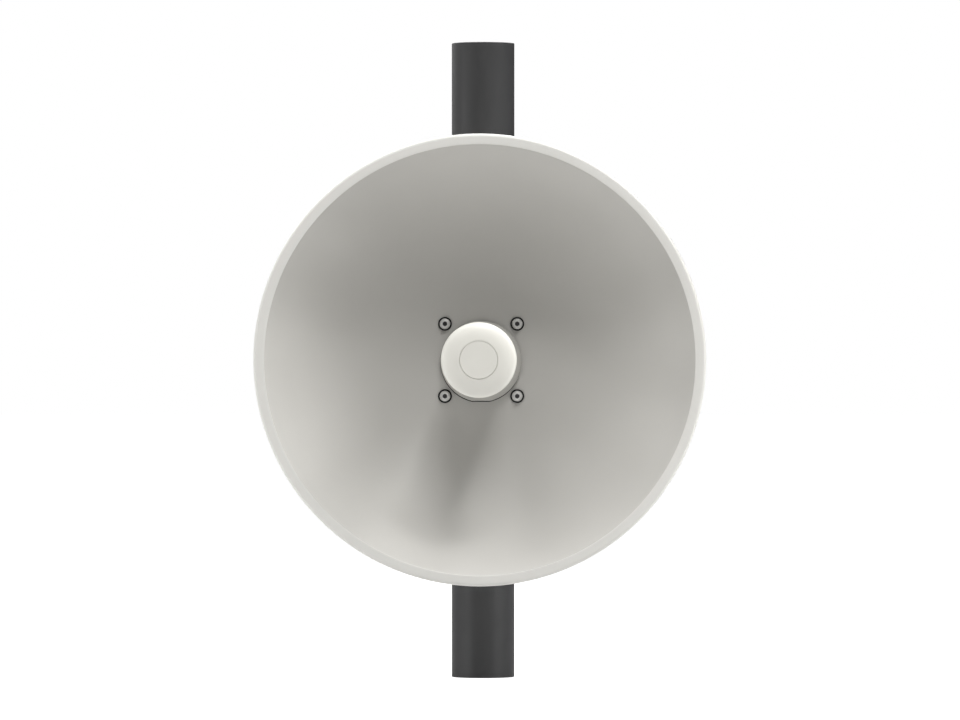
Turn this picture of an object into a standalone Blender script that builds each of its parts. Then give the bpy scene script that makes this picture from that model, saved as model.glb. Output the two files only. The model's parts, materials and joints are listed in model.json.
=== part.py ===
"""A wireless dish antenna clamped to a stub mast, in metres.

Z is up, X runs to the right as one faces the dish, and the dish looks along -Y.
The mast stands on the origin. The clamp turns about the mast, and the head tilts on the clamp.
"""

from math import atan, cos, pi, radians, sin, tan

import bmesh
import bpy
from mathutils import Vector

# Clear space left between pieces that rest on each other
SEAT = 0.0003

# Mast: a 2-inch steel tube with a plug let into each end
POLE_RADIUS = 0.0603 / 2
POLE_WALL = 0.00365
POLE_LENGTH = 0.610
POLE_PLUG_THICKNESS = 0.010

# Reflector: flat floor, parabolic wall, flat rim band and a rounded lip turned back
DISH_HEIGHT = POLE_LENGTH / 2
RIM_Y = -0.250
DISH_DEPTH = 0.105
DISH_FLOOR_RADIUS = 0.056
DISH_WALL_RADIUS = 0.1996
DISH_RADIUS = 0.2095
DISH_SHEET = 0.002
LIP_BEND_RADIUS = 0.0029
LIP_LENGTH = 0.009
DISH_BORE_RADIUS = 0.0285
WALL_POINTS = 9
LIP_POINTS = 3

# Feed, in front of the dish floor
COLLAR_RADIUS = 0.0386
COLLAR_SIDE = 0.006
COLLAR_HEIGHT = 0.017
COLLAR_FLAT = 0.0377
COLLAR_EDGE = 0.003
COLLAR_EDGE_INSET = 0.0045
COLLAR_NECK = 0.0015
TUBE_BASE_RADIUS = 0.0265
TUBE_TIP_RADIUS = 0.0235
CAP_FRONT_Y = -0.310
CAP_RADIUS = 0.0347
CAP_LENGTH = 0.028
CAP_SHOULDER_START = 0.0190
CAP_SHOULDER_DEPTH = 0.0125
CAP_SIDE = 0.0035
CAP_SHOULDER_POINTS = 6
CAP_BACK_EDGE = 0.002
CAP_NECK = 0.001
CAP_NECK_FLARE = 0.003
CAP_NECK_LENGTH = 0.005
CAP_RECESS_RADIUS = 0.0178
CAP_RECESS_DEPTH = 0.0012
CAP_DISC_RADIUS = 0.0174

# Front screws: M6 button heads on dark washers, at the corners of a square
SCREW_SPACING = 0.068
SCREW_RADIUS = 0.003
SCREW_REACH = 0.018
SCREW_HEAD_RADIUS = 0.00525
SCREW_HEAD_HEIGHT = 0.0033
SCREW_SOCKET = 0.004
SCREW_SOCKET_DEPTH = 0.0025
SCREW_HEAD_SIDE = 0.001
SCREW_HEAD_CROWN = 0.0023
SCREW_HEAD_BREAK = 0.0008
SCREW_HOLE_END = 0.002
WASHER_RADIUS = 0.0067
WASHER_THICKNESS = 0.0012

# Sheet steel of the yoke and of the pole bracket
PLATE = 0.003
PLATE_BEND = PLATE + 0.001
PLATE_CORNER = 0.010
PIVOT_CORNER = 0.012
TOOL_SPARE = 0.005
YOKE_HALF_WIDTH = 0.060
YOKE_HALF_HEIGHT = 0.060
YOKE_TAPER_START = 0.009
YOKE_END_Y = -0.080
YOKE_END_TOP = 0.049
YOKE_END_BOTTOM = -0.013

# Radio housing, its seal and its finned rear cover
HOUSING_HALF_WIDTH = 0.044
HOUSING_HALF_HEIGHT = 0.062
HOUSING_CORNER = 0.014
HOUSING_REAR_Y = -0.084
SEAL_THICKNESS = 0.0015
SEAL_INSET = 0.0015
COVER_THICKNESS = 0.0085
FIN_HEIGHT = 0.006
FIN_COUNT = 9
FIN_PITCH = 0.008
FIN_THICKNESS = 0.003
FIN_HALF_HEIGHT = 0.046
FIN_ROOT = 0.0005

# Fittings on the housing's underside
GLAND_Y = -0.110
DOOR_HALF_WIDTH = 0.030
DOOR_HALF_DEPTH = 0.018
DOOR_THICKNESS = 0.003
DOOR_CORNER = 0.004
GLAND_ACROSS_FLATS = 0.022
GLAND_BODY_LENGTH = 0.010
GLAND_NUT_LENGTH = 0.016
GLAND_DOME_RADIUS = 0.0092
GLAND_DOME_LENGTH = 0.0033
GLAND_MOUTH_RADIUS = 0.0040
GLAND_MOUTH_DEPTH = 0.005
GLAND_LIP = 0.0026
FITTING_SPREAD = 0.036
STUD_RADIUS = 0.0025
STUD_LENGTH = 0.012
STUD_ACROSS_FLATS = 0.008
STUD_NUT = 0.004
VENT_RADIUS = 0.0052
VENT_HEIGHT = 0.0045
SMALL_CHAMFER = 0.001

# Tilt pivot and lock slot
PIVOT_Y = -0.100
SLOT_RADIUS = 0.035
TILT_LIMIT = radians(15)
SLOT_SPARE_ANGLE = radians(1.5)
SLOT_SIDE_STEPS = 6
SLOT_END_STEPS = 6
HOLE_CLEARANCE = 0.0003

# Pole bracket, front saddle and rear jaw
WEB_REAR_Y = -0.040
EAR_TOP = 0.047
EAR_BOTTOM = -0.014
EAR_NOSE = 0.021
SADDLE_HALF_WIDTH = 0.054
SADDLE_HALF_HEIGHT = 0.030
JAW_OPENING_Y = 0.016
VEE_HALF_ANGLE = radians(60)
JAW_WING = 0.010
JAW_WING_INNER = 0.034
JAW_BACK_HALF_WIDTH = 0.016
JAW_BACK = 0.046
CASTING_CORNER = 0.003
JAW_BACK_CORNER = 0.005
CLAMP_BOLT_SPREAD = 0.044

# M8 bolts and nuts
BOLT_RADIUS = 0.004
BOLT_ACROSS_FLATS = 0.013
BOLT_HEAD = 0.0053
NUT_HEIGHT = 0.0065
SIDE_BOLT_TIP = 0.001
CLAMP_BOLT_TIP = 0.009
HEXAGON_CHAMFER = 0.0008

FINE_STEPS = 64
ROUND_STEPS = 48
SMALL_STEPS = 24
CORNER_STEPS = 4
SHARP_ANGLE = radians(35)

PAINT = ("powder_coat", (0.80, 0.79, 0.75), 0.45, 0.0)
CAP_PLASTIC = ("cap_plastic", (0.86, 0.85, 0.81), 0.35, 0.0)
TUBE_PLASTIC = ("tube_plastic", (0.72, 0.71, 0.67), 0.5, 0.0)
DARK_PAINT = ("dark_paint", (0.075, 0.075, 0.077), 0.5, 0.0)
STEEL = ("galvanised_steel", (0.60, 0.61, 0.62), 0.4, 1.0)
FASTENER = ("stainless_steel", (0.55, 0.55, 0.54), 0.3, 1.0)
CASTING = ("cast_aluminium", (0.62, 0.62, 0.61), 0.5, 1.0)
HOUSING_PLASTIC = ("housing_plastic", (0.74, 0.73, 0.70), 0.5, 0.0)
RUBBER = ("black_rubber", (0.03, 0.03, 0.03), 0.8, 0.0)


def material(finish):
    """The Blender material of a finish, made once."""
    name, colour, roughness, metallic = finish
    found = bpy.data.materials.get(name)
    if found:
        return found
    made = bpy.data.materials.new(name)
    made.use_nodes = True
    shader = made.node_tree.nodes["Principled BSDF"]
    shader.inputs["Base Color"].default_value = (*colour, 1)
    shader.inputs["Roughness"].default_value = roughness
    shader.inputs["Metallic"].default_value = metallic
    made.diffuse_color = (*colour, 1)
    return made


def axis_empty(name, place, parent=None):
    """An empty on a joint's axis, which carries the pieces that turn there."""
    empty = bpy.data.objects.new(name, None)
    bpy.context.collection.objects.link(empty)
    empty["place"] = place
    empty.location = place
    if parent:
        empty.parent = parent
        empty.location -= Vector(parent["place"])
    return empty


def finished(bm, name, place, finish, carrier):
    """Makes the object, with its origin at its place, and hangs it on its carrier."""
    bmesh.ops.recalc_face_normals(bm, faces=bm.faces)
    mesh = bpy.data.meshes.new(name)
    bm.to_mesh(mesh)
    bm.free()
    mesh.shade_smooth()
    mesh.set_sharp_from_angle(angle=SHARP_ANGLE)
    made = bpy.data.objects.new(name, mesh)
    bpy.context.collection.objects.link(made)
    made.location = place
    if finish:
        mesh.materials.append(material(finish))
    if carrier:
        made.parent = carrier
        made.location -= Vector(carrier["place"])
    return made


def hexagon(across_flats):
    """A hexagon's radius at an angle."""
    sector = pi / 3
    return lambda angle: across_flats / 2 / cos((angle + sector / 2) % sector - sector / 2)


def ring_points(size, distance, along, steps):
    """Points around an axis, on a circle of a radius or on an outline given by its angle."""
    across = Vector((1, 0, 0)) if abs(along.x) < 0.5 else Vector((0, 1, 0))
    other = along.cross(across)
    points = []
    for step in range(steps):
        angle = 2 * pi * step / steps
        radius = size(angle) if callable(size) else size
        points.append(along * distance + (across * cos(angle) + other * sin(angle)) * radius)
    return points


def turned(name, rings, along, place, finish=None, carrier=None, steps=SMALL_STEPS, open_bore=False):
    """A solid through rings of (radius or outline, distance), with flat ends or a bore."""
    bm = bmesh.new()
    loops = []
    for size, distance in rings:
        points = ring_points(size, distance, Vector(along), steps)
        loops.append([bm.verts.new(point) for point in points])
    pairs = list(zip(loops, loops[1:]))
    if open_bore:
        pairs.append((loops[-1], loops[0]))
    else:
        bm.faces.new(loops[0])
        bm.faces.new(loops[-1])
    for low, high in pairs:
        for i in range(steps):
            j = (i + 1) % steps
            bm.faces.new((low[i], low[j], high[j], high[i]))
    return finished(bm, name, place, finish, carrier)


def extruded(name, outline, along, start, end, place, finish=None, carrier=None):
    """A flat outline pushed along X, Y or Z from start to end. Its points name the other two axes."""
    order = {"X": lambda u, v, w: (w, u, v), "Y": lambda u, v, w: (u, w, v), "Z": lambda u, v, w: (u, v, w)}
    to_space = order[along]
    bm = bmesh.new()
    face = bm.faces.new([bm.verts.new(to_space(u, v, start)) for u, v in outline])
    pushed = bmesh.ops.extrude_face_region(bm, geom=[face])
    moved = [item for item in pushed["geom"] if isinstance(item, bmesh.types.BMVert)]
    bmesh.ops.translate(bm, verts=moved, vec=to_space(0, 0, end - start))
    return finished(bm, name, place, finish, carrier)


def rounded(corners):
    """An outline whose corners (u, v, radius) are arcs."""
    points = []
    for i, (u, v, radius) in enumerate(corners):
        here = Vector((u, v))
        before = (Vector(corners[i - 1][:2]) - here).normalized()
        after = (Vector(corners[(i + 1) % len(corners)][:2]) - here).normalized()
        if radius == 0:
            points.append((u, v))
            continue
        half = before.angle(after) / 2
        middle = here + (before + after).normalized() * radius / sin(half)
        first = here + before * radius / tan(half) - middle
        last = here + after * radius / tan(half) - middle
        for step in range(CORNER_STEPS + 1):
            along = first.slerp(last, step / CORNER_STEPS)
            points.append(tuple(middle + along * radius))
    return points


def rectangle(half_u, half_v, radius):
    """A rectangle around its centre with rounded corners."""
    signs = ((-1, -1), (1, -1), (1, 1), (-1, 1))
    return rounded([(s * half_u, t * half_v, radius) for s, t in signs])


def as_tool(shape):
    """Marks a shape as a tool that cuts or joins another, and isn't a piece itself."""
    shape.hide_render = True
    shape.display_type = "WIRE"
    return shape


def combine(target, shape, operation="DIFFERENCE"):
    """Cuts, joins or trims the target with another shape."""
    modifier = target.modifiers.new(shape.name, "BOOLEAN")
    modifier.operation = operation
    modifier.solver = "EXACT"
    modifier.object = as_tool(shape)


def drill(name, radius, along, start, end, place, carrier=None, steps=SMALL_STEPS):
    """A round hole to be cut."""
    return turned(name, [(radius, start), (radius, end)], along, place, carrier=carrier, steps=steps)


def make_mast():
    """The tube and the plug in each end, flush with its cut."""
    inner = POLE_RADIUS - POLE_WALL
    upward = (0, 0, 1)
    tube = [(POLE_RADIUS, 0), (POLE_RADIUS, POLE_LENGTH), (inner, POLE_LENGTH), (inner, 0)]
    turned("pole", tube, upward, (0, 0, 0), DARK_PAINT, steps=FINE_STEPS, open_bore=True)
    plug = [(inner - SEAT, 0), (inner - SEAT, POLE_PLUG_THICKNESS)]
    turned("pole_foot_plug", plug, upward, (0, 0, 0), DARK_PAINT, steps=FINE_STEPS)
    top = (0, 0, POLE_LENGTH - POLE_PLUG_THICKNESS)
    turned("pole_top_plug", plug, upward, top, DARK_PAINT, steps=FINE_STEPS)


def dish_rise(radius):
    """How far the wall stands in front of the floor at a radius, as (rise, slope)."""
    width = DISH_WALL_RADIUS - DISH_FLOOR_RADIUS
    beyond = max(radius - DISH_FLOOR_RADIUS, 0)
    return DISH_DEPTH * (beyond / width) ** 2, 2 * DISH_DEPTH * beyond / width ** 2


def reflector_outline():
    """The sheet's front from the bore to the lip's end, then its back to the bore, as rings."""
    front = [(DISH_BORE_RADIUS, 0)]
    back = [(DISH_BORE_RADIUS, -DISH_SHEET)]
    width = DISH_WALL_RADIUS - DISH_FLOOR_RADIUS
    for i in range(WALL_POINTS + 1):
        radius = DISH_FLOOR_RADIUS + width * i / WALL_POINTS
        rise, slope = dish_rise(radius)
        front.append((radius, rise))
        if i < WALL_POINTS:
            tilt = atan(slope)
            back.append((radius + DISH_SHEET * sin(tilt), rise - DISH_SHEET * cos(tilt)))
    band_back = DISH_DEPTH - DISH_SHEET
    tilt = atan(dish_rise(DISH_WALL_RADIUS)[1])
    back.append((DISH_WALL_RADIUS + DISH_SHEET * (1 / sin(tilt) - cos(tilt) / sin(tilt)), band_back))
    bend = DISH_RADIUS - LIP_BEND_RADIUS
    for i in range(LIP_POINTS + 1):
        angle = pi / 2 * i / LIP_POINTS
        across, along = sin(angle), cos(angle)
        inner = LIP_BEND_RADIUS - DISH_SHEET
        depth = DISH_DEPTH - LIP_BEND_RADIUS
        front.append((bend + LIP_BEND_RADIUS * across, depth + LIP_BEND_RADIUS * along))
        back.append((bend + inner * across, depth + inner * along))
    front.append((DISH_RADIUS, DISH_DEPTH - LIP_LENGTH))
    back.append((DISH_RADIUS - DISH_SHEET, DISH_DEPTH - LIP_LENGTH))
    return front + back[::-1]


def screw_places():
    """The four front screws, by name, on the dish floor's front face."""
    half = SCREW_SPACING / 2
    for level, up in (("upper", 1), ("lower", -1)):
        for side, right in (("left", -1), ("right", 1)):
            yield f"{level}_{side}", (right * half, RIM_Y + DISH_DEPTH, DISH_HEIGHT + up * half)


def make_reflector(head):
    """The dish, bored for the feed and the four screws."""
    floor = (0, RIM_Y + DISH_DEPTH, DISH_HEIGHT)
    return turned("reflector", reflector_outline(), (0, -1, 0), floor, PAINT, head, FINE_STEPS, True)


def make_feed(head):
    """The collar on the dish floor, the tapered tube, the cap and the disc let into its front."""
    forward = (0, -1, 0)
    floor = (0, RIM_Y + DISH_DEPTH, DISH_HEIGHT)
    spigot = DISH_BORE_RADIUS - SEAT
    collar = [
        (spigot, -DISH_SHEET - PLATE - SEAT),
        (spigot, SEAT),
        (COLLAR_RADIUS, SEAT),
        (COLLAR_RADIUS, COLLAR_SIDE),
        (COLLAR_RADIUS - COLLAR_EDGE_INSET / 4, COLLAR_SIDE + COLLAR_EDGE / 2),
        (COLLAR_RADIUS - COLLAR_EDGE_INSET, COLLAR_SIDE + COLLAR_EDGE),
        (TUBE_BASE_RADIUS + COLLAR_NECK, COLLAR_HEIGHT),
    ]
    ring = turned("feed_collar", collar, forward, floor, TUBE_PLASTIC, head, ROUND_STEPS)
    low = -COLLAR_RADIUS - TOOL_SPARE
    wide = COLLAR_RADIUS
    flat = [(-wide, low), (wide, low), (wide, -COLLAR_FLAT), (-wide, -COLLAR_FLAT)]
    combine(ring, extruded("collar_flat", flat, "Y", -COLLAR_HEIGHT, 0, floor, carrier=head))

    cap_back = RIM_Y + DISH_DEPTH - CAP_FRONT_Y - CAP_LENGTH
    tube = [(TUBE_BASE_RADIUS, COLLAR_HEIGHT + SEAT), (TUBE_TIP_RADIUS, cap_back - SEAT)]
    turned("feed_tube", tube, forward, floor, TUBE_PLASTIC, head, ROUND_STEPS)

    shoulder = CAP_LENGTH - CAP_SHOULDER_DEPTH
    cap = [
        (TUBE_TIP_RADIUS + CAP_NECK, 0),
        (TUBE_TIP_RADIUS + CAP_NECK + CAP_NECK_FLARE, CAP_NECK_LENGTH),
        (CAP_RADIUS - CAP_BACK_EDGE, shoulder - CAP_SIDE - CAP_BACK_EDGE),
        (CAP_RADIUS, shoulder - CAP_SIDE),
    ]
    for i in range(CAP_SHOULDER_POINTS):
        angle = pi / 2 * i / (CAP_SHOULDER_POINTS - 1)
        across = CAP_SHOULDER_START + (CAP_RADIUS - CAP_SHOULDER_START) * cos(angle)
        cap.append((across, shoulder + CAP_SHOULDER_DEPTH * sin(angle)))
    cap.append((CAP_RECESS_RADIUS, CAP_LENGTH))
    cap.append((CAP_RECESS_RADIUS, CAP_LENGTH - CAP_RECESS_DEPTH))
    cap_place = (0, CAP_FRONT_Y + CAP_LENGTH, DISH_HEIGHT)
    turned("feed_cap", cap, forward, cap_place, CAP_PLASTIC, head, ROUND_STEPS)
    disc = [(CAP_DISC_RADIUS, SEAT), (CAP_DISC_RADIUS, CAP_RECESS_DEPTH)]
    disc_place = (0, CAP_FRONT_Y + CAP_RECESS_DEPTH, DISH_HEIGHT)
    turned("cap_disc", disc, forward, disc_place, CAP_PLASTIC, head, ROUND_STEPS)


def make_front_screws(head, drilled):
    """Four button-head screws on washers, through every piece behind them."""
    forward = (0, -1, 0)
    under = 2 * SEAT + WASHER_THICKNESS
    top = under + SCREW_HEAD_HEIGHT
    hole = SCREW_RADIUS + HOLE_CLEARANCE
    for name, place in screw_places():
        screw = [
            (SCREW_RADIUS, -SCREW_REACH),
            (SCREW_RADIUS, under),
            (SCREW_HEAD_RADIUS, under),
            (SCREW_HEAD_RADIUS, under + SCREW_HEAD_SIDE),
            (SCREW_HEAD_RADIUS - SCREW_HEAD_BREAK, top - SCREW_HEAD_SIDE),
            (SCREW_HEAD_RADIUS - SCREW_HEAD_CROWN, top),
            (hexagon(SCREW_SOCKET), top),
            (hexagon(SCREW_SOCKET), top - SCREW_SOCKET_DEPTH),
        ]
        turned(f"front_screw_{name}", screw, forward, place, FASTENER, head)
        washer = [
            (hole, SEAT),
            (WASHER_RADIUS, SEAT),
            (WASHER_RADIUS, under - SEAT),
            (hole, under - SEAT),
        ]
        turned(f"screw_washer_{name}", washer, forward, place, RUBBER, head, open_bore=True)
        hole_end = SCREW_REACH + SCREW_HOLE_END
        bore = drill(f"screw_hole_{name}", hole, forward, -hole_end, SCREW_HOLE_END, place, head)
        for piece in drilled:
            combine(piece, bore)


def yoke_outline():
    """Seen from above: a channel whose flanges run back from the plate behind the dish."""
    front = RIM_Y + DISH_DEPTH + DISH_SHEET + SEAT
    outer, inner = YOKE_HALF_WIDTH, YOKE_HALF_WIDTH - PLATE
    bend = PLATE_BEND
    return rounded([
        (-outer, front, bend),
        (outer, front, bend),
        (outer, YOKE_END_Y, 0),
        (inner, YOKE_END_Y, 0),
        (inner, front + PLATE, bend - PLATE),
        (-inner, front + PLATE, bend - PLATE),
        (-inner, YOKE_END_Y, 0),
        (-outer, YOKE_END_Y, 0),
    ])


def make_yoke(head, pivot):
    """The channel between the dish and the housing, with its flanges cut to shape."""
    tilt_axis = (0, 0, DISH_HEIGHT)
    yoke = extruded(
        "yoke", yoke_outline(), "Z", -YOKE_HALF_HEIGHT, YOKE_HALF_HEIGHT, tilt_axis, STEEL, head
    )
    spare = TOOL_SPARE
    front = RIM_Y + DISH_DEPTH - spare
    plate_back = RIM_Y + DISH_DEPTH + YOKE_TAPER_START
    tall = YOKE_HALF_HEIGHT + spare
    keep = rounded([
        (front, -tall, 0),
        (plate_back, -tall, 0),
        (plate_back, -YOKE_HALF_HEIGHT, 0),
        (YOKE_END_Y, YOKE_END_BOTTOM, PIVOT_CORNER),
        (YOKE_END_Y, YOKE_END_TOP, PLATE_CORNER),
        (plate_back, YOKE_HALF_HEIGHT, 0),
        (plate_back, tall, 0),
        (front, tall, 0),
    ])
    wide = YOKE_HALF_WIDTH + spare
    combine(yoke, extruded("yoke_side_shape", keep, "X", -wide, wide, tilt_axis, carrier=head), "INTERSECT")
    bore_place = (0, RIM_Y + DISH_DEPTH, DISH_HEIGHT)
    bore = [(DISH_BORE_RADIUS, -YOKE_TAPER_START), (DISH_BORE_RADIUS, 0)]
    combine(yoke, turned("yoke_bore", bore, (0, -1, 0), bore_place, carrier=head, steps=ROUND_STEPS))
    for name, place in (("pivot", pivot), ("slot", lock_place())):
        hole = BOLT_RADIUS + HOLE_CLEARANCE
        combine(yoke, drill(f"yoke_{name}_hole", hole, (1, 0, 0), -wide, wide, place, head))
    return yoke


def make_housing(head):
    """The radio's case with its boss face on the yoke plate, the seal and the finned cover."""
    centre = (0, 0, DISH_HEIGHT)
    front = RIM_Y + DISH_DEPTH + DISH_SHEET + PLATE + 2 * SEAT
    outline = rectangle(HOUSING_HALF_WIDTH, HOUSING_HALF_HEIGHT, HOUSING_CORNER)
    case = extruded("radio_housing", outline, "Y", front, HOUSING_REAR_Y, centre, HOUSING_PLASTIC, head)

    seal_front = HOUSING_REAR_Y + SEAT
    seal_back = seal_front + SEAL_THICKNESS
    narrow = rectangle(
        HOUSING_HALF_WIDTH - SEAL_INSET, HOUSING_HALF_HEIGHT - SEAL_INSET, HOUSING_CORNER - SEAL_INSET
    )
    extruded("housing_seal", narrow, "Y", seal_front, seal_back, centre, RUBBER, head)

    cover_front = seal_back + SEAT
    cover_back = cover_front + COVER_THICKNESS
    cover = extruded("rear_cover", outline, "Y", cover_front, cover_back, centre, CASTING, head)
    floor = cover_back + FIN_ROOT
    comb = [(-(FIN_COUNT - 1) / 2 * FIN_PITCH - FIN_THICKNESS / 2, cover_front + COVER_THICKNESS / 2)]
    for i in range(FIN_COUNT):
        middle = (i - (FIN_COUNT - 1) / 2) * FIN_PITCH
        left, right = middle - FIN_THICKNESS / 2, middle + FIN_THICKNESS / 2
        comb += [(left, cover_back + FIN_HEIGHT), (right, cover_back + FIN_HEIGHT)]
        if i < FIN_COUNT - 1:
            comb += [(right, floor), (left + FIN_PITCH, floor)]
    comb.append((-comb[0][0], comb[0][1]))
    fins = extruded("cover_fins", comb, "Z", -FIN_HALF_HEIGHT, FIN_HALF_HEIGHT, centre, carrier=head)
    combine(cover, fins, "UNION")
    return case


def make_bottom_fittings(head):
    """The port door with its gland, the earth stud and the vent plug, under the housing."""
    down = (0, 0, -1)
    under = DISH_HEIGHT - HOUSING_HALF_HEIGHT
    door_place = (0, GLAND_Y, under)
    outline = rectangle(DOOR_HALF_WIDTH, DOOR_HALF_DEPTH, DOOR_CORNER)
    extruded("port_door", outline, "Z", -DOOR_THICKNESS, -SEAT, door_place, HOUSING_PLASTIC, head)
    flats = hexagon(GLAND_ACROSS_FLATS)
    body = [(flats, DOOR_THICKNESS + SEAT), (flats, DOOR_THICKNESS + GLAND_BODY_LENGTH)]
    turned("gland_body", body, down, door_place, HOUSING_PLASTIC, head)
    start = DOOR_THICKNESS + GLAND_BODY_LENGTH + SEAT
    end = start + GLAND_NUT_LENGTH
    nut = [
        (flats, start),
        (flats, end - GLAND_DOME_LENGTH - GLAND_LIP),
        (GLAND_DOME_RADIUS, end - GLAND_LIP),
        (GLAND_MOUTH_RADIUS + GLAND_LIP, end),
        (GLAND_MOUTH_RADIUS, end),
        (GLAND_MOUTH_RADIUS, end - GLAND_MOUTH_DEPTH),
    ]
    turned("gland_nut", nut, down, door_place, HOUSING_PLASTIC, head)
    vent = [
        (VENT_RADIUS, SEAT),
        (VENT_RADIUS, VENT_HEIGHT - SMALL_CHAMFER),
        (VENT_RADIUS - SMALL_CHAMFER, VENT_HEIGHT),
    ]
    turned("vent_plug", vent, down, (FITTING_SPREAD, GLAND_Y, under), RUBBER, head)
    stud = [
        (hexagon(STUD_ACROSS_FLATS), SEAT),
        (hexagon(STUD_ACROSS_FLATS), STUD_NUT),
        (STUD_RADIUS, STUD_NUT),
        (STUD_RADIUS, STUD_LENGTH),
    ]
    turned("earth_stud", stud, down, (-FITTING_SPREAD, GLAND_Y, under), FASTENER, head)


def pivot_place():
    """Where the tilt axis crosses the middle plane."""
    return (0, PIVOT_Y, DISH_HEIGHT)


def lock_place():
    """Where the tilt lock bolts cross the middle plane at rest, straight above the pivot."""
    return (0, PIVOT_Y, DISH_HEIGHT + SLOT_RADIUS)


def bracket_outline():
    """Seen from above: a channel whose ears run forward from the web at the pole."""
    outer = YOKE_HALF_WIDTH + SEAT + PLATE
    inner = outer - PLATE
    nose = PIVOT_Y - EAR_NOSE
    bend = PLATE_BEND
    return rounded([
        (outer, WEB_REAR_Y, bend),
        (-outer, WEB_REAR_Y, bend),
        (-outer, nose, 0),
        (-inner, nose, 0),
        (-inner, WEB_REAR_Y - PLATE, bend - PLATE),
        (inner, WEB_REAR_Y - PLATE, bend - PLATE),
        (inner, nose, 0),
        (outer, nose, 0),
    ])


def slot_outline():
    """The lock bolt's path round the pivot, with its clearance, as a bent slot."""
    reach = TILT_LIMIT + SLOT_SPARE_ANGLE
    half = BOLT_RADIUS + HOLE_CLEARANCE
    points = []
    for side, radius in ((1, SLOT_RADIUS + half), (-1, SLOT_RADIUS - half)):
        for i in range(SLOT_SIDE_STEPS + 1):
            angle = pi / 2 + side * reach * (1 - 2 * i / SLOT_SIDE_STEPS)
            points.append((radius * cos(angle), radius * sin(angle)))
        end = pi / 2 - side * reach
        middle = Vector((cos(end), sin(end))) * SLOT_RADIUS
        for i in range(1, SLOT_END_STEPS):
            turn = end + (0 if side > 0 else pi) - pi * i / SLOT_END_STEPS
            points.append((middle.x + half * cos(turn), middle.y + half * sin(turn)))
    return points


def make_bracket(clamp, pivot):
    """The U-shaped plate that carries the head, with its pivot holes and tilt slots."""
    centre = (0, 0, DISH_HEIGHT)
    height = EAR_TOP
    bracket = extruded("pole_bracket", bracket_outline(), "Z", -height, height, centre, STEEL, clamp)
    spare = TOOL_SPARE
    nose = PIVOT_Y - EAR_NOSE
    web_front = WEB_REAR_Y - PLATE - spare
    tall = height + spare
    keep = rounded([
        (WEB_REAR_Y + spare, tall, 0),
        (web_front, tall, 0),
        (nose, EAR_TOP - SMALL_CHAMFER, PLATE_CORNER),
        (nose, EAR_BOTTOM, PIVOT_CORNER),
        (web_front, -EAR_TOP, 0),
        (web_front, -tall, 0),
        (WEB_REAR_Y + spare, -tall, 0),
    ])
    wide = YOKE_HALF_WIDTH + PLATE + spare
    side = extruded("bracket_side_shape", keep, "X", -wide, wide, centre, carrier=clamp)
    combine(bracket, side, "INTERSECT")
    slot = extruded("tilt_slot", slot_outline(), "X", -wide, wide, pivot, carrier=clamp)
    combine(bracket, slot)
    hole = BOLT_RADIUS + HOLE_CLEARANCE
    combine(bracket, drill("bracket_pivot_hole", hole, (1, 0, 0), -wide, wide, pivot, clamp))
    return bracket


def vee_depth():
    """How far from the pole's centre the bottom of a vee lies, when its sides touch the pole."""
    return (POLE_RADIUS + SEAT) / sin(VEE_HALF_ANGLE)


def make_saddle(clamp):
    """The casting between the bracket and the pole."""
    front = WEB_REAR_Y + SEAT
    open_half = (vee_depth() - JAW_OPENING_Y) * tan(VEE_HALF_ANGLE)
    outline = rounded([
        (-SADDLE_HALF_WIDTH, front, CASTING_CORNER),
        (SADDLE_HALF_WIDTH, front, CASTING_CORNER),
        (SADDLE_HALF_WIDTH, -JAW_OPENING_Y, CASTING_CORNER),
        (open_half, -JAW_OPENING_Y, 0),
        (0, -vee_depth(), 0),
        (-open_half, -JAW_OPENING_Y, 0),
        (-SADDLE_HALF_WIDTH, -JAW_OPENING_Y, CASTING_CORNER),
    ])
    place = (0, 0, DISH_HEIGHT)
    tall = SADDLE_HALF_HEIGHT
    return extruded("front_saddle", outline, "Z", -tall, tall, place, CASTING, clamp)


def make_jaw(clamp):
    """The casting behind the pole, with flat wings for the nuts."""
    open_half = (vee_depth() - JAW_OPENING_Y) * tan(VEE_HALF_ANGLE)
    wing = JAW_OPENING_Y + JAW_WING
    outline = rounded([
        (-SADDLE_HALF_WIDTH, JAW_OPENING_Y, CASTING_CORNER),
        (-open_half, JAW_OPENING_Y, 0),
        (0, vee_depth(), 0),
        (open_half, JAW_OPENING_Y, 0),
        (SADDLE_HALF_WIDTH, JAW_OPENING_Y, CASTING_CORNER),
        (SADDLE_HALF_WIDTH, wing, CASTING_CORNER),
        (JAW_WING_INNER, wing, CASTING_CORNER),
        (JAW_BACK_HALF_WIDTH, JAW_BACK, JAW_BACK_CORNER),
        (-JAW_BACK_HALF_WIDTH, JAW_BACK, JAW_BACK_CORNER),
        (-JAW_WING_INNER, wing, CASTING_CORNER),
        (-SADDLE_HALF_WIDTH, wing, CASTING_CORNER),
    ])
    place = (0, 0, DISH_HEIGHT)
    tall = SADDLE_HALF_HEIGHT
    return extruded("rear_jaw", outline, "Z", -tall, tall, place, CASTING, clamp)


def make_bolt(name, place, along, length, carrier):
    """A hexagon-head bolt. Its head's underside is at its place, and its shank runs along."""
    bolt = [
        (BOLT_ACROSS_FLATS / 2 - HEXAGON_CHAMFER / 2, -BOLT_HEAD),
        (hexagon(BOLT_ACROSS_FLATS), -BOLT_HEAD + HEXAGON_CHAMFER),
        (hexagon(BOLT_ACROSS_FLATS), 0),
        (BOLT_RADIUS, 0),
        (BOLT_RADIUS, length - SMALL_CHAMFER),
        (BOLT_RADIUS - SMALL_CHAMFER, length),
    ]
    turned(name, bolt, along, place, FASTENER, carrier)


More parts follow.
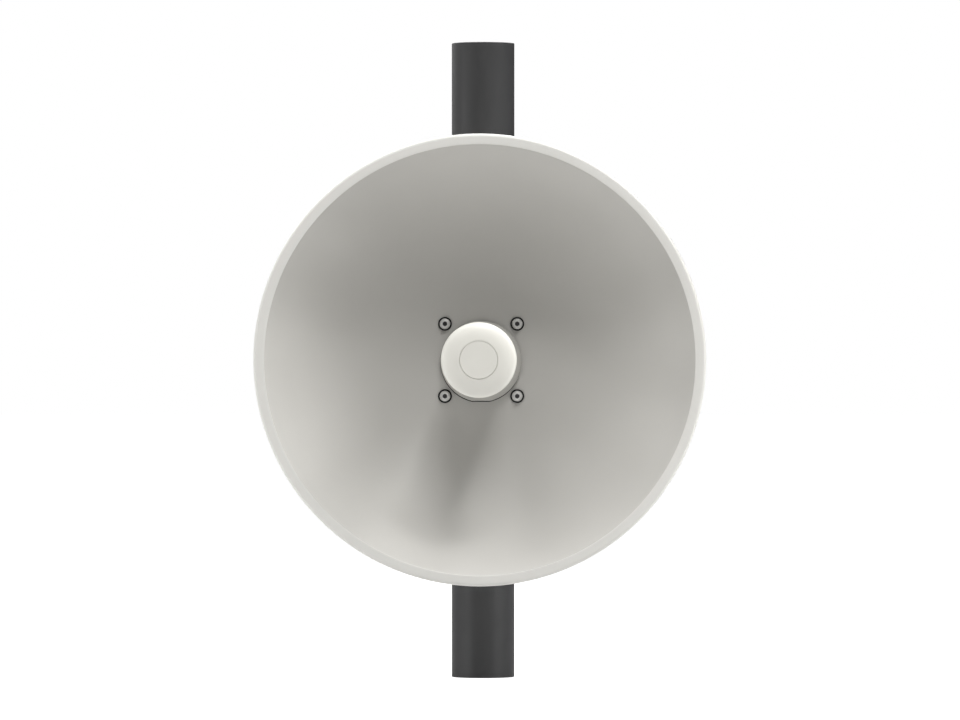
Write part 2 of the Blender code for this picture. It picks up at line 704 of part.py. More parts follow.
def make_nut(name, place, along, carrier):
    """A hexagon nut. Its seat is at its place, and it stands along."""
    bore = BOLT_RADIUS + HOLE_CLEARANCE
    nut = [
        (bore, 0),
        (hexagon(BOLT_ACROSS_FLATS), 0),
        (hexagon(BOLT_ACROSS_FLATS), NUT_HEIGHT - HEXAGON_CHAMFER),
        (BOLT_ACROSS_FLATS / 2 - HEXAGON_CHAMFER / 2, NUT_HEIGHT),
        (bore, NUT_HEIGHT),
    ]
    turned(name, nut, along, place, FASTENER, carrier, open_bore=True)


def make_clamp_bolts(clamp, pieces):
    """A long bolt on each side of the pole, through the bracket's web, the saddle and the jaw."""
    backward = (0, 1, 0)
    head_seat = WEB_REAR_Y - PLATE - SEAT
    nut_seat = JAW_OPENING_Y + JAW_WING + SEAT
    length = nut_seat + NUT_HEIGHT + CLAMP_BOLT_TIP - head_seat
    for side, right in (("left", -1), ("right", 1)):
        x = right * CLAMP_BOLT_SPREAD
        make_bolt(f"clamp_bolt_{side}", (x, head_seat, DISH_HEIGHT), backward, length, clamp)
        make_nut(f"clamp_nut_{side}", (x, nut_seat, DISH_HEIGHT), backward, clamp)
        hole = BOLT_RADIUS + HOLE_CLEARANCE
        start = WEB_REAR_Y - 2 * PLATE
        bore = drill(f"clamp_hole_{side}", hole, backward, start, JAW_BACK, (x, 0, DISH_HEIGHT), clamp)
        for piece in pieces:
            combine(piece, bore)


def make_side_bolts(name, place, carrier):
    """A bolt and nut on each side, through an ear and the flange inside it."""
    head_seat = YOKE_HALF_WIDTH + PLATE + 2 * SEAT
    nut_seat = YOKE_HALF_WIDTH - PLATE - SEAT
    length = head_seat - nut_seat + NUT_HEIGHT + SIDE_BOLT_TIP
    for side, right in (("left", -1), ("right", 1)):
        inward = (-right, 0, 0)
        _, y, z = place
        make_bolt(f"{name}_bolt_{side}", (right * head_seat, y, z), inward, length, carrier)
        make_nut(f"{name}_nut_{side}", (right * nut_seat, y, z), inward, carrier)


def main():
    for old in list(bpy.data.objects):
        bpy.data.objects.remove(old)
    pivot = pivot_place()
    clamp = axis_empty("azimuth_axis", (0, 0, DISH_HEIGHT))
    head = axis_empty("elevation_axis", pivot, clamp)

    make_mast()
    dish = make_reflector(head)
    make_feed(head)
    yoke = make_yoke(head, pivot)
    case = make_housing(head)
    make_front_screws(head, (dish, yoke, case))
    make_bottom_fittings(head)
    bracket = make_bracket(clamp, pivot)
    saddle = make_saddle(clamp)
    jaw = make_jaw(clamp)
    make_clamp_bolts(clamp, (bracket, saddle, jaw))
    make_side_bolts("pivot", pivot, clamp)
    make_side_bolts("slot", lock_place(), head)


main()
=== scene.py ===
import json
from math import acos, cos, hypot, pi, radians, sin, tan

import bmesh
import bpy
from mathutils import Matrix, Vector


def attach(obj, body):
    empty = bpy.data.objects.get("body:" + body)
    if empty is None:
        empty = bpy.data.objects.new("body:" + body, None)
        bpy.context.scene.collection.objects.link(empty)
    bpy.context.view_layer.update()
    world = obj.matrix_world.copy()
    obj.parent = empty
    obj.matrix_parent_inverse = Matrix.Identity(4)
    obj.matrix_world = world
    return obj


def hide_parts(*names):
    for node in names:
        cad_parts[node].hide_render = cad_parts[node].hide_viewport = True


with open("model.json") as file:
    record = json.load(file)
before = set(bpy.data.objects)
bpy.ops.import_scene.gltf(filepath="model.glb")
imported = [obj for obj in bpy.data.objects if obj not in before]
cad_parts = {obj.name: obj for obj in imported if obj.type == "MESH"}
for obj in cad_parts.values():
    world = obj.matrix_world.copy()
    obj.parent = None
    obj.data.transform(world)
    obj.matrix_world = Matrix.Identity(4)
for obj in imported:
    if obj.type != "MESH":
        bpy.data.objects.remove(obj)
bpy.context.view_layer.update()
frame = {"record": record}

RECORD = frame["record"]
BODY_OF = {node: body for body, nodes in RECORD["behaviour"]["bodies"].items() for node in nodes}
SLOT_OF = {row["node"]: row["material_slot"] for row in RECORD["subparts"]}

# The gap between pieces that touch, and the places of the dish's axis and the tilt axis
GAP = 0.0003
AXIS_HEIGHT = 0.305
PIVOT_Y = -0.100

# Mast and the plugs in its ends
POLE_RADIUS = 0.03015
POLE_WALL = 0.00365
POLE_LENGTH = 0.610
PLUG_THICKNESS = 0.010
PLUG_BORDER = 0.019
PLUG_HOLLOW = 0.0015
PLUG_BOSS_RADIUS = 0.005
PLUG_BOSS_DROP = 0.0008

# Reflector
DISH_FLOOR_Y = -0.145
DISH_CENTRE = (0, DISH_FLOOR_Y, AXIS_HEIGHT)
DISH_DEPTH = 0.105
DISH_FLOOR_RADIUS = 0.056
DISH_WALL_RADIUS = 0.1996
DISH_RADIUS = 0.2095
DISH_SHEET = 0.002
LIP_BEND = 0.0029
LIP_LENGTH = 0.009
DISH_BORE_RADIUS = 0.0285
DISH_WALL_RINGS = 32

# Feed, from its collar to the disc in its cap
COLLAR_RADIUS = 0.0381
COLLAR_DROP = 0.00125
COLLAR_FLAT = 0.03845
COLLAR_EDGE = 0.0070
COLLAR_HEIGHT = 0.017
# A dark ring under the collar, set off-centre downward: painted contact shadow below the collar's edge
SHADOW_RING_HEIGHT = 0.0010
SHADOW_RING_DROP = 0.00085
SHADOW_RING_ASIDE = 0.0002
TUBE_BASE_RADIUS = 0.0265
TUBE_TIP_RADIUS = 0.0235
JOINT_SETBACK = 0.012
JOINT_DEPTH = 0.0004
JOINT_WIDTH = 0.0012
CAP_FRONT_Y = -0.310
CAP_RADIUS = 0.0347
CAP_LENGTH = 0.028
CAP_SHOULDER = 0.0125
CAP_CROWN = 0.008
CAP_CROWN_MIDDLE = 0.0127
CAP_CROWN_RINGS = 20
RECESS_RADIUS = 0.0178
RECESS_DEPTH = 0.0012
DISC_RADIUS = 0.0174

# Screws round the feed and their ring washers
SCREW_HALF = 0.034
SCREW_RADIUS = 0.003
SCREW_LENGTH = 0.018
SCREW_HEAD_RADIUS = 0.0050
SCREW_HEAD_HEIGHT = 0.0033
SCREW_SOCKET = 0.004
SCREW_SOCKET_DEPTH = 0.0025
# Socket faces within this reach get the near-black painted shade
SOCKET_SHADE_REACH = 0.58 * SCREW_SOCKET
SCREW_PIN_RADIUS = 0.0005
WASHER_RADIUS = 0.00655
WASHER_THICKNESS = 0.0012

# Pressed sheet, and the yoke made of it
PLATE = 0.003
SHEET_BEND = 0.004
SHEET_EDGE = 0.0004
YOKE_HALF_WIDTH = 0.060
YOKE_HALF_HEIGHT = 0.060
YOKE_TAPER_Y = -0.136
YOKE_END_Y = -0.080
YOKE_END_TOP = 0.049
YOKE_END_BOTTOM = -0.013
YOKE_TOP_CORNER = 0.0082
YOKE_BOTTOM_CORNER = 0.0056

# Radio: its housing with ribs, the seal, and the rear cover with its fins
HOUSING_HALF_WIDTH = 0.044
HOUSING_HALF_HEIGHT = 0.062
HOUSING_CORNER = 0.014
HOUSING_REAR_Y = -0.084
HOUSING_INSET = 0.0014
HOUSING_FLANGE = 0.0075
RIB_HEIGHTS = (-0.040, -0.020, 0, 0.020, 0.040)
RIB_HALF = 0.0009
RIB_START = 0.006
RIB_END = 0.048
SEAL_THICKNESS = 0.0015
SEAL_INSET = 0.0015
COVER_Y = HOUSING_REAR_Y + SEAL_THICKNESS + 2 * GAP
COVER_THICKNESS = 0.0085
COVER_SCREW_X = 0.0365
COVER_SCREW_Z = 0.0540
COVER_SCREW_RADIUS = 0.0034
COVER_SCREW_HEIGHT = 0.0022
COVER_RECESS = 0.0006
FIN_COUNT = 9
FIN_PITCH = 0.008
FIN_HEIGHT = 0.006
FIN_ROOT = 0.001
FIN_THICKNESS = 0.003
FIN_DRAFT = 0.12
FIN_HALF_LENGTH = 0.046

# Fittings under the radio
UNDERSIDE = AXIS_HEIGHT - HOUSING_HALF_HEIGHT
GLAND_Y = -0.110
DOOR_HALF_WIDTH = 0.030
DOOR_HALF_DEPTH = 0.018
DOOR_THICKNESS = 0.003
DOOR_SCREW_X = 0.024
DOOR_WELL = 0.0011
GLAND_FLATS = 0.022
GLAND_CORNER = 0.0127
GLAND_BODY = 0.010
GLAND_NUT = 0.016
GLAND_MOUTH = 0.0040
GLAND_GROOVES = 18
FITTING_SPREAD = 0.036
VENT_RADIUS = 0.0052
VENT_HEIGHT = 0.0045
STUD_RADIUS = 0.0025
STUD_LENGTH = 0.012
STUD_PITCH = 0.0008
STUD_FLATS = 0.008

# Pole bracket, with its ears, tilt slots and scribed marks
SLOT_RADIUS = 0.035
SLOT_REACH = radians(16.5)
MARK_STEP = radians(5)
MARK_HALF_WIDTH = 0.00022
MARK_DEPTH = 0.00025
MARK_SETBACK = 0.0012
MARK_LENGTH = 0.0028
LEVEL_MARK_LENGTH = 0.0045
EAR_INNER = 0.0603
EAR_OUTER = EAR_INNER + PLATE
EAR_TOP = 0.047
EAR_BOTTOM = -0.014
EAR_NOSE_Y = -0.121
EAR_TAPER_Y = -0.048
EAR_TOP_CORNER = 0.0098
EAR_BOTTOM_CORNER = 0.0077
WEB_REAR_Y = -0.040

# Clamp castings
CLAMP_SPREAD = 0.044
CASTING_HALF_WIDTH = 0.054
CASTING_HALF_HEIGHT = 0.030
CASTING_CORNER = 0.003
MOUTH_CORNER = 0.0012
JAW_OPENING_Y = 0.016
JAW_WING_Y = 0.026
JAW_BACK_Y = 0.046
JAW_BACK_HALF_WIDTH = 0.016
JAW_FOOT_HALF_WIDTH = 0.034
VEE_HALF_ANGLE = radians(60)

# Bolts, nuts and flat washers, with shares of a hexagon's half width
BOLT_RADIUS = 0.004
BOLT_HOLE = 0.0043
BOLT_FLATS = 0.013
BOLT_HEAD = 0.0053
BOLT_PITCH = 0.00125
NUT_HEIGHT = 0.0065
CLAMP_BOLT_TIP = 0.009
CLAMP_BOLT_THREAD = 0.040
SIDE_BOLT_TIP = 0.001
SIDE_BOLT_PLAIN = 0.004
WASHER_FLAT = 0.0012
WASHER_OUTER = 0.0078
WASHER_PLAY = 0.0001
FACE_SHARE = 0.93
CORNER_SHARE = 1.17

# Steps round turned shapes, the reach of cutting tools, and limits of closeness
THREAD_STEPS = 28
DISH_STEPS = 192
ROUND_STEPS = 96
SMALL_STEPS = 48
SHARP_ANGLE = radians(35)
CUT_REACH = 0.08
OVERLAP = 0.0005
MERGE = 1e-6
NEAR = 2e-5

# Directions and sides
UP, DOWN = (0, 0, 1), (0, 0, -1)
FORWARD, BACKWARD, RIGHT = (0, -1, 0), (0, 1, 0), (1, 0, 0)
SIDES = (("left", -1), ("right", 1))
LEVELS = (("upper", 1), ("lower", -1))

# Camera and surround
CAMERA_DISTANCE = 6.0
CAMERA_TURN = radians(0.77)
CAMERA_AIM = radians(0.0035)
CAMERA_LENS = 243.3
SURROUND = 0.01
FLOOR_HALF = 30
FLOOR_GREY = 0.5
FLOOR_GLOW = 0.06
FLOOR_WHITE = 1.0
WHITE = (1, 1, 1, 1)

# Soft boxes round the dish: name, azimuth, elevation, size and power
LIGHTS = [
    ("key", 17, 55, 0.35, 6),
    ("key_left", 5, 50, 0.35, 6),
    ("key_right", 26, 53, 0.35, 12),
    ("high", 25, 68, 1.1, 13),
    ("right_high", 90, 70, 0.8, 20),
    ("right", 78, 49, 1.1, 39),
    ("right_low", 72, 34, 0.7, 10),
    ("left_high", -43, 62, 1.1, 17),
    ("left", -65, 36, 1.5, 11),
    ("left_low", -75, 7, 1.0, 11),
    ("back_left", -140, 30, 1.8, 45),
    ("back", 180, 35, 1.8, 55),
]
LIGHT_DISTANCE = 3.0
LIGHT_AIM_Y = -0.18

# Small lights low beside the dish: name, distance to the right and power
CARDS = [("card_right", 0.55, 0.53), ("card_left", -0.55, 0.40)]
CARD_SIZE = 0.14
CARD_Y = -0.35
CARD_HEIGHT = 0.08
CARD_AIM = 0.22


def spun(rings, steps=ROUND_STEPS, closed=False):
    """Turns a line of (radius, height, rounding) about Z and rounds the edges that ask for it."""
    bm = bmesh.new()
    line = [bm.verts.new((radius, 0, height)) for radius, height, _ in rings]
    pairs = list(zip(line, line[1:]))
    if closed:
        pairs.append((line[-1], line[0]))
    edges = [bm.edges.new(pair) for pair in pairs]
    bmesh.ops.spin(
        bm, geom=line + edges, cent=(0, 0, 0), axis=UP, angle=2 * pi, steps=steps, use_merge=True
    )
    bmesh.ops.remove_doubles(bm, verts=bm.verts, dist=MERGE)
    bmesh.ops.recalc_face_normals(bm, faces=bm.faces)
    for rounding in sorted({ring[2] for ring in rings if ring[2]}):
        spots = [(radius, height) for radius, height, wanted in rings if wanted == rounding]
        soften(bm, rounding, [edge for edge in bm.edges if on_ring(edge, spots, steps)])
    return bm


def on_ring(edge, spots, steps):
    """True if an edge runs round Z on one of the rings."""
    for radius, height in spots:
        if all(abs(hypot(*v.co.xy) - radius) + abs(v.co.z - height) < NEAR for v in edge.verts):
            return edge.calc_length() > radius * pi / steps
    return False


def soften(bm, rounding, items, segments=3, affect="EDGES"):
    """Rounds some edges, or the corners of a flat sheet."""
    bmesh.ops.bevel(
        bm, geom=items, offset=rounding, affect=affect, segments=segments, profile=0.5, material=-1
    )


def sharp_edges(bm, angle=radians(40)):
    """The edges that turn by more than an angle."""
    return [edge for edge in bm.edges if len(edge.link_faces) == 2 and edge.calc_face_angle(0) > angle]


def tidied(bm):
    """Joins doubled points and flat neighbours, so that only real edges are left."""
    bmesh.ops.remove_doubles(bm, verts=bm.verts, dist=MERGE)
    bmesh.ops.dissolve_limit(bm, angle_limit=radians(1), verts=bm.verts, edges=bm.edges)
    return bm


def pushed_up(bm, pushed, height):
    """Raises the new points of a shape that was pushed out of a line or a face."""
    points = [item for item in pushed["geom"] if isinstance(item, bmesh.types.BMVert)]
    bmesh.ops.translate(bm, verts=points, vec=(0, 0, height))
    bmesh.ops.recalc_face_normals(bm, faces=bm.faces)
    return bm


def plate(outline, thickness, segments=5):
    """A flat plate that stands on the XY plane. Its corners are (x, y, rounding)."""
    bm = bmesh.new()
    corners = [(bm.verts.new((x, y, 0)), rounding) for x, y, rounding in outline]
    bm.faces.new([corner for corner, _ in corners])
    for rounding in sorted({rounding for _, rounding in corners if rounding}):
        chosen = [corner for corner, wanted in corners if wanted == rounding]
        soften(bm, rounding, chosen, segments, "VERTICES")
    return pushed_up(bm, bmesh.ops.extrude_face_region(bm, geom=bm.faces[:]), thickness)


def thickened(bm, inside, thickness):
    """Gives an open sheet its thickness, on the side where a point lies."""
    bm.normal_update()
    first = bm.faces[:][0]
    looks_at_it = first.normal.dot(Vector(inside) - first.calc_center_median()) > 0
    bmesh.ops.solidify(bm, geom=bm.faces[:], thickness=-thickness if looks_at_it else thickness)
    bmesh.ops.recalc_face_normals(bm, faces=bm.faces)
    return bm


def rectangle(half_x, half_y, rounding):
    """The four corners of a plate around its centre."""
    signs = ((-1, -1), (1, -1), (1, 1), (-1, 1))
    return [(a * half_x, b * half_y, rounding) for a, b in signs]


def block(low, high):
    """A box between two corners."""
    bm = bmesh.new()
    size = Vector(high) - Vector(low)
    middle = (Vector(high) + Vector(low)) / 2
    bmesh.ops.create_cube(bm, size=1, matrix=Matrix.Translation(middle) @ Matrix.Diagonal((*size, 1)))
    return bm


def rod(radius, start, end, steps=SMALL_STEPS):
    """A plain round bar along Z."""
    return spun([(0, start, 0), (radius, start, 0), (radius, end, 0), (0, end, 0)], steps)


def turned_to(bm, facing, place=(0, 0, 0)):
    """Turns a shape made along Z to face another way, and moves it to its place."""
    turn = Matrix.Rotation(pi, 3, "X")
    if facing != DOWN:
        turn = Vector(UP).rotation_difference(Vector(facing)).to_matrix()
    bmesh.ops.rotate(bm, verts=bm.verts, cent=(0, 0, 0), matrix=turn)
    bmesh.ops.translate(bm, verts=bm.verts, vec=place)
    return bm


def moved_by(bm, step):
    """Moves a whole shape."""
    bmesh.ops.translate(bm, verts=bm.verts, vec=step)
    return bm


def rolled(bm, angle, axis="Z"):
    """Turns a whole shape about an axis through the origin."""
    bmesh.ops.rotate(bm, verts=bm.verts, cent=(0, 0, 0), matrix=Matrix.Rotation(angle, 3, axis))
    return bm


def mesh_of(bm, name):
    """Turns a shape into a mesh."""
    mesh = bpy.data.meshes.new(name)
    bm.to_mesh(mesh)
    bm.free()
    return mesh


def placed(name, data):
    """Puts a new object into the scene, at the origin."""
    made = bpy.data.objects.new(name, data)
    bpy.context.scene.collection.objects.link(made)
    return made


def with_shape(bm, other):
    """Adds another closed shape to this one, as it is."""
    mesh = mesh_of(other, "shape")
    bm.from_mesh(mesh)
    bpy.data.meshes.remove(mesh)
    return bm


def carved(bm, tool, operation="DIFFERENCE"):
    """Cuts a tool out of a shape, joins the two, or keeps what both hold."""
    pair = [placed("shape", mesh_of(shape, "shape")) for shape in (bm, tool)]
    modifier = pair[0].modifiers.new("carve", "BOOLEAN")
    modifier.operation = operation
    modifier.solver = "EXACT"
    modifier.object = pair[1]
    made = bmesh.new()
    made.from_object(pair[0], bpy.context.evaluated_depsgraph_get())
    for part in pair:
        mesh = part.data
        bpy.data.objects.remove(part)
        bpy.data.meshes.remove(mesh)
    bmesh.ops.dissolve_degenerate(made, dist=MERGE, edges=made.edges)
    return made


def joined(bm, tool):
    """Two shapes as one solid."""
    return carved(bm, tool, "UNION")


def shown(bm, name, look, body, nodes=()):
    """Makes a piece with one of the finishes, on its body, and hides the CAD nodes that it stands for."""
    mesh = mesh_of(bm, name)
    mesh.shade_smooth()
    mesh.set_sharp_from_angle(angle=SHARP_ANGLE)
    mesh.materials.append(FINISHES[look])
    piece = placed(name, mesh)
    weighed = piece.modifiers.new("even_shading", "WEIGHTED_NORMAL")
    weighed.keep_sharp = True
    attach(piece, body)
    if nodes:
        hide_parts(*nodes)
    return piece


def dressed(bm, node, look):
    """Shows a shape in place of a CAD node, on its body and with one of the finishes."""
    return shown(bm, f"{node}_dressed", look, BODY_OF[node], [node])


def put(node, values):
    """Sets a node's inputs by their names."""
    for name, value in values.items():
        node.inputs[name].default_value = value


def finish(name, colour, roughness, metallic=0.0):
    """A material with its plain colour, roughness and metallic values."""
    material = bpy.data.materials.new(name)
    material.use_nodes = True
    shader = material.node_tree.nodes["Principled BSDF"]
    put(shader, {"Base Color": (*colour, 1), "Roughness": roughness, "Metallic": metallic})
    material.diffuse_color = (*colour, 1)
    return material


def noise(material, scale, detail, stretch=None):
    """Cloudy noise over the piece's own coordinates, in features per metre."""
    tree = material.node_tree
    place = tree.nodes.new("ShaderNodeTexCoord").outputs["Object"]
    if stretch:
        mapping = tree.nodes.new("ShaderNodeMapping")
        put(mapping, {"Scale": stretch})
        tree.links.new(place, mapping.inputs["Vector"])
        place = mapping.outputs["Vector"]
    cloud = tree.nodes.new("ShaderNodeTexNoise")
    put(cloud, {"Scale": scale, "Detail": detail})
    tree.links.new(place, cloud.inputs["Vector"])
    return cloud.outputs["Fac"]


def speckle(material, scale):
    """Flat cells of different greys, for spangle."""
    tree = material.node_tree
    place = tree.nodes.new("ShaderNodeTexCoord").outputs["Object"]
    cells = tree.nodes.new("ShaderNodeTexVoronoi")
    put(cells, {"Scale": scale})
    tree.links.new(place, cells.inputs["Vector"])
    return cells.outputs["Color"]


def ramp(material, factor, stops, socket):
    """Sends a factor through a colour ramp of two stops to one of the shader's sockets."""
    tree = material.node_tree
    band = tree.nodes.new("ShaderNodeValToRGB")
    for element, (position, colour) in zip(band.color_ramp.elements, stops):
        element.position = position
        element.color = (*colour, 1)
    tree.links.new(factor, band.inputs["Fac"])
    tree.links.new(band.outputs["Color"], tree.nodes["Principled BSDF"].inputs[socket])


def shade_between(material, factor, dark, light, low=0.35, high=0.65):
    """Varies the colour between two shades."""
    ramp(material, factor, [(low, dark), (high, light)], "Base Color")


def gloss_between(material, factor, smooth, rough, low=0.35, high=0.65):
    """Varies the roughness between two values."""
    ramp(material, factor, [(low, (smooth,) * 3), (high, (rough,) * 3)], "Roughness")


def raise_surface(material, factor, strength, depth):
    """Adds a fine relief to the surface."""
    tree = material.node_tree
    relief = tree.nodes.new("ShaderNodeBump")
    put(relief, {"Strength": strength, "Distance": depth})
    tree.links.new(factor, relief.inputs["Height"])
    tree.links.new(relief.outputs["Normal"], tree.nodes["Principled BSDF"].inputs["Normal"])


def tint(colour, amount):
    """A colour made lighter or darker by a share."""
    return tuple(channel * amount for channel in colour)


def make_powder_coat(name, colour):
    """Warm light grey powder coat with a faint orange peel."""
    coat = finish(name, colour, 0.42)
    shade_between(coat, noise(coat, 9, 4), tint(colour, 0.985), tint(colour, 1.012))
    gloss_between(coat, noise(coat, 40, 4), 0.40, 0.46)
    raise_surface(coat, noise(coat, 420, 2), 0.10, 0.0002)
    return coat


def make_moulding(name, colour, roughness, grain):
    """Moulded plastic with a fine spark-eroded grain."""
    moulding = finish(name, colour, roughness)
    shade_between(moulding, noise(moulding, 14, 3), tint(colour, 0.985), tint(colour, 1.01))
    gloss_between(moulding, noise(moulding, 90, 3), roughness - 0.03, roughness + 0.04)
    raise_surface(moulding, noise(moulding, 1500, 2), grain, 0.0001)
    return moulding


def make_pole_paint():
    """Satin dark grey paint, drawn down the tube, with a few dull patches."""
    colour = (0.043, 0.043, 0.044)
    paint = finish("pole_paint", colour, 0.5)
    shade_between(paint, noise(paint, 22, 4, (1, 1, 0.3)), tint(colour, 0.95), tint(colour, 1.05))
    gloss_between(paint, noise(paint, 60, 4, (1, 1, 0.25)), 0.46, 0.56)
    raise_surface(paint, noise(paint, 700, 2, (1, 1, 0.5)), 0.12, 0.0001)
    return paint


def make_zinc():
    """Hot-dip galvanised steel, with dull spangle."""
    zinc = finish("galvanised_zinc", (0.42, 0.43, 0.44), 0.42, 1.0)
    shade_between(zinc, speckle(zinc, 300), (0.385, 0.395, 0.41), (0.46, 0.47, 0.48), 0.1, 0.9)
    gloss_between(zinc, noise(zinc, 70, 4), 0.36, 0.52)
    raise_surface(zinc, noise(zinc, 300, 3), 0.12, 0.0002)
    return zinc


def make_stainless():
    """Bright stainless steel of the bolts and nuts."""
    steel = finish("stainless_steel", (0.56, 0.555, 0.545), 0.28, 1.0)
    shade_between(steel, noise(steel, 300, 3), (0.51, 0.505, 0.495), (0.60, 0.595, 0.585))
    gloss_between(steel, noise(steel, 220, 3), 0.22, 0.36)
    return steel


def make_plated_steel():
    """Plated steel of the screws in front: a pale, mostly non-metallic colour that scatters more than it
    mirrors, partly the plating's own grey and partly painted reflection of bright surroundings.
    """
    steel = finish("plated_steel_painted_reflection", (0.78, 0.775, 0.755), 0.45, 0.25)
    shade_between(steel, noise(steel, 300, 3), (0.75, 0.745, 0.725), (0.81, 0.805, 0.785))
    gloss_between(steel, noise(steel, 220, 3), 0.38, 0.48)
    return steel


def make_cast_metal():
    """Aluminium as it left the mould, with a sandy grain."""
    metal = finish("cast_aluminium", (0.50, 0.50, 0.495), 0.5, 1.0)
    shade_between(metal, noise(metal, 120, 5), (0.44, 0.44, 0.435), (0.55, 0.55, 0.545))
    gloss_between(metal, noise(metal, 160, 4), 0.44, 0.60)
    raise_surface(metal, noise(metal, 900, 3), 0.35, 0.0003)
    return metal


def make_cover_paint():
    """Powder coat over the cast rear cover, a little rougher than the dish."""
    colour = (0.600, 0.588, 0.552)
    paint = finish("cover_paint", colour, 0.5)
    shade_between(paint, noise(paint, 20, 4), tint(colour, 0.975), tint(colour, 1.015))
    gloss_between(paint, noise(paint, 60, 4), 0.46, 0.54)
    raise_surface(paint, noise(paint, 500, 3), 0.18, 0.0002)
    return paint


def make_rubber(name, colour, roughness):
    """Black rubber or plastic with a matt bloom; also the near-black painted shade in the front screws'
    sockets.
    """
    rubber = finish(name, colour, roughness)
    shade_between(rubber, noise(rubber, 120, 3), tint(colour, 0.85), tint(colour, 1.2))
    raise_surface(rubber, noise(rubber, 1200, 2), 0.15, 0.0001)
    return rubber


FINISHES = {
    "coat": make_powder_coat("powder_coat", (0.630, 0.617, 0.583)),
    # The rim's lighter copy of the dish coat is painted light: the sheet has one coat.
    "rim": make_powder_coat("rim_coat_painted_light", (0.840, 0.828, 0.785)),
    "feed": make_moulding("feed_plastic", (0.600, 0.590, 0.555), 0.42, 0.10),
    "cap": make_moulding("cap_plastic", (0.930, 0.915, 0.842), 0.38, 0.04),
    "case": make_moulding("case_plastic", (0.600, 0.590, 0.555), 0.45, 0.14),
    "pole": make_pole_paint(),
    "plug": make_rubber("plug_plastic", (0.022, 0.022, 0.023), 0.55),
    "zinc": make_zinc(),
    "stainless": make_stainless(),
    "plated": make_plated_steel(),
    # Near-black material painted into the front screws' sockets as shade.
    "socket_shade": make_rubber("socket_painted_shade", (0.110, 0.110, 0.110), 0.6),
    "cast": make_cast_metal(),
    "cover": make_cover_paint(),
    "rubber": make_rubber("black_rubber", (0.012, 0.012, 0.012), 0.7),
    "nylon": make_rubber("black_nylon", (0.028, 0.028, 0.029), 0.5),
}


def make_pole():
    """The mast's tube, with the edges of its cut ends broken."""
    inner = POLE_RADIUS - POLE_WALL
    tube = spun([
        (POLE_RADIUS, 0, 0.0006),
        (POLE_RADIUS, POLE_LENGTH, 0.0006),
        (inner, POLE_LENGTH, 0.0004),
        (inner, 0, 0.0004),
    ], DISH_STEPS, closed=True)
    dressed(tube, "pole", "pole")


def make_pole_plugs():
    """A moulded plug in each end of the mast, with a shallow hollow round a low boss."""
    radius = POLE_RADIUS - POLE_WALL - GAP
    for node, facing, height in (("pole_foot_plug", DOWN, 0), ("pole_top_plug", UP, POLE_LENGTH)):
        plug = spun([
            (0, -PLUG_THICKNESS, 0),
            (radius, -PLUG_THICKNESS, 0.0008),
            (radius, 0, 0.0008),
            (PLUG_BORDER, 0, 0.0005),
            (PLUG_BORDER - 0.002, -PLUG_HOLLOW, 0.0005),
            (PLUG_BOSS_RADIUS + 0.001, -PLUG_HOLLOW, 0.0004),
            (PLUG_BOSS_RADIUS, -PLUG_BOSS_DROP, 0.0004),
            (0, -PLUG_BOSS_DROP, 0),
        ])
        dressed(turned_to(plug, facing, (0, 0, height)), node, "plug")


def dish_line():
    """The front of the dish from its bore to the edge of its lip, as rings over the floor."""
    width = DISH_WALL_RADIUS - DISH_FLOOR_RADIUS
    rings = [(DISH_BORE_RADIUS, 0, 0)]
    for i in range(DISH_WALL_RINGS):
        share = i / DISH_WALL_RINGS
        rings.append((DISH_FLOOR_RADIUS + width * share, DISH_DEPTH * share ** 2, 0))
    return rings + [
        (DISH_WALL_RADIUS, DISH_DEPTH, 0.0007),
        (DISH_RADIUS, DISH_DEPTH, LIP_BEND),
        (DISH_RADIUS, DISH_DEPTH - LIP_LENGTH, 0),
    ]


def make_reflector():
    """One spun sheet: the bowl, its flat rim, and the lip turned back. The rim and lip get a lighter copy
    of the same coat as painted light.
    """
    bowl = thickened(spun(dish_line(), DISH_STEPS), (0, 0, -1), DISH_SHEET)
    for face in bowl.faces:
        across = hypot(*face.calc_center_median().xy)
        # Faces beyond the wall take the lighter rim copy of the coat: painted light on the flat rim and
        # lip.
        face.material_index = int(across > DISH_WALL_RADIUS)
    piece = dressed(turned_to(bowl, FORWARD, DISH_CENTRE), "reflector", "coat")
    piece.data.materials.append(FINISHES["rim"])


def above(height):
    """A block that keeps what lies over a height, for the flats of the collar and its seal."""
    return block((-0.05, height, -0.01), (0.05, 0.05, 0.02))


def make_collar():
    """The feed's base ring, with a flat below and a spigot through the dish."""
    ring = spun([
        (0, SHADOW_RING_HEIGHT + GAP, 0),
        (COLLAR_RADIUS, SHADOW_RING_HEIGHT + GAP, 0.0003),
        (COLLAR_RADIUS, COLLAR_EDGE, 0.0020),
        (TUBE_BASE_RADIUS + 0.0045, COLLAR_HEIGHT - 0.0020, 0.0012),
        (TUBE_BASE_RADIUS + 0.0022, COLLAR_HEIGHT, 0.0003),
        (0, COLLAR_HEIGHT, 0),
    ], DISH_STEPS)
    moved_by(ring, (0, -COLLAR_DROP, 0))
    ring = carved(ring, above(-COLLAR_FLAT), "INTERSECT")
    spigot = rod(DISH_BORE_RADIUS - GAP, -DISH_SHEET - PLATE, COLLAR_HEIGHT - 0.002, ROUND_STEPS)
    dressed(turned_to(joined(ring, spigot), FORWARD, DISH_CENTRE), "feed_collar", "feed")


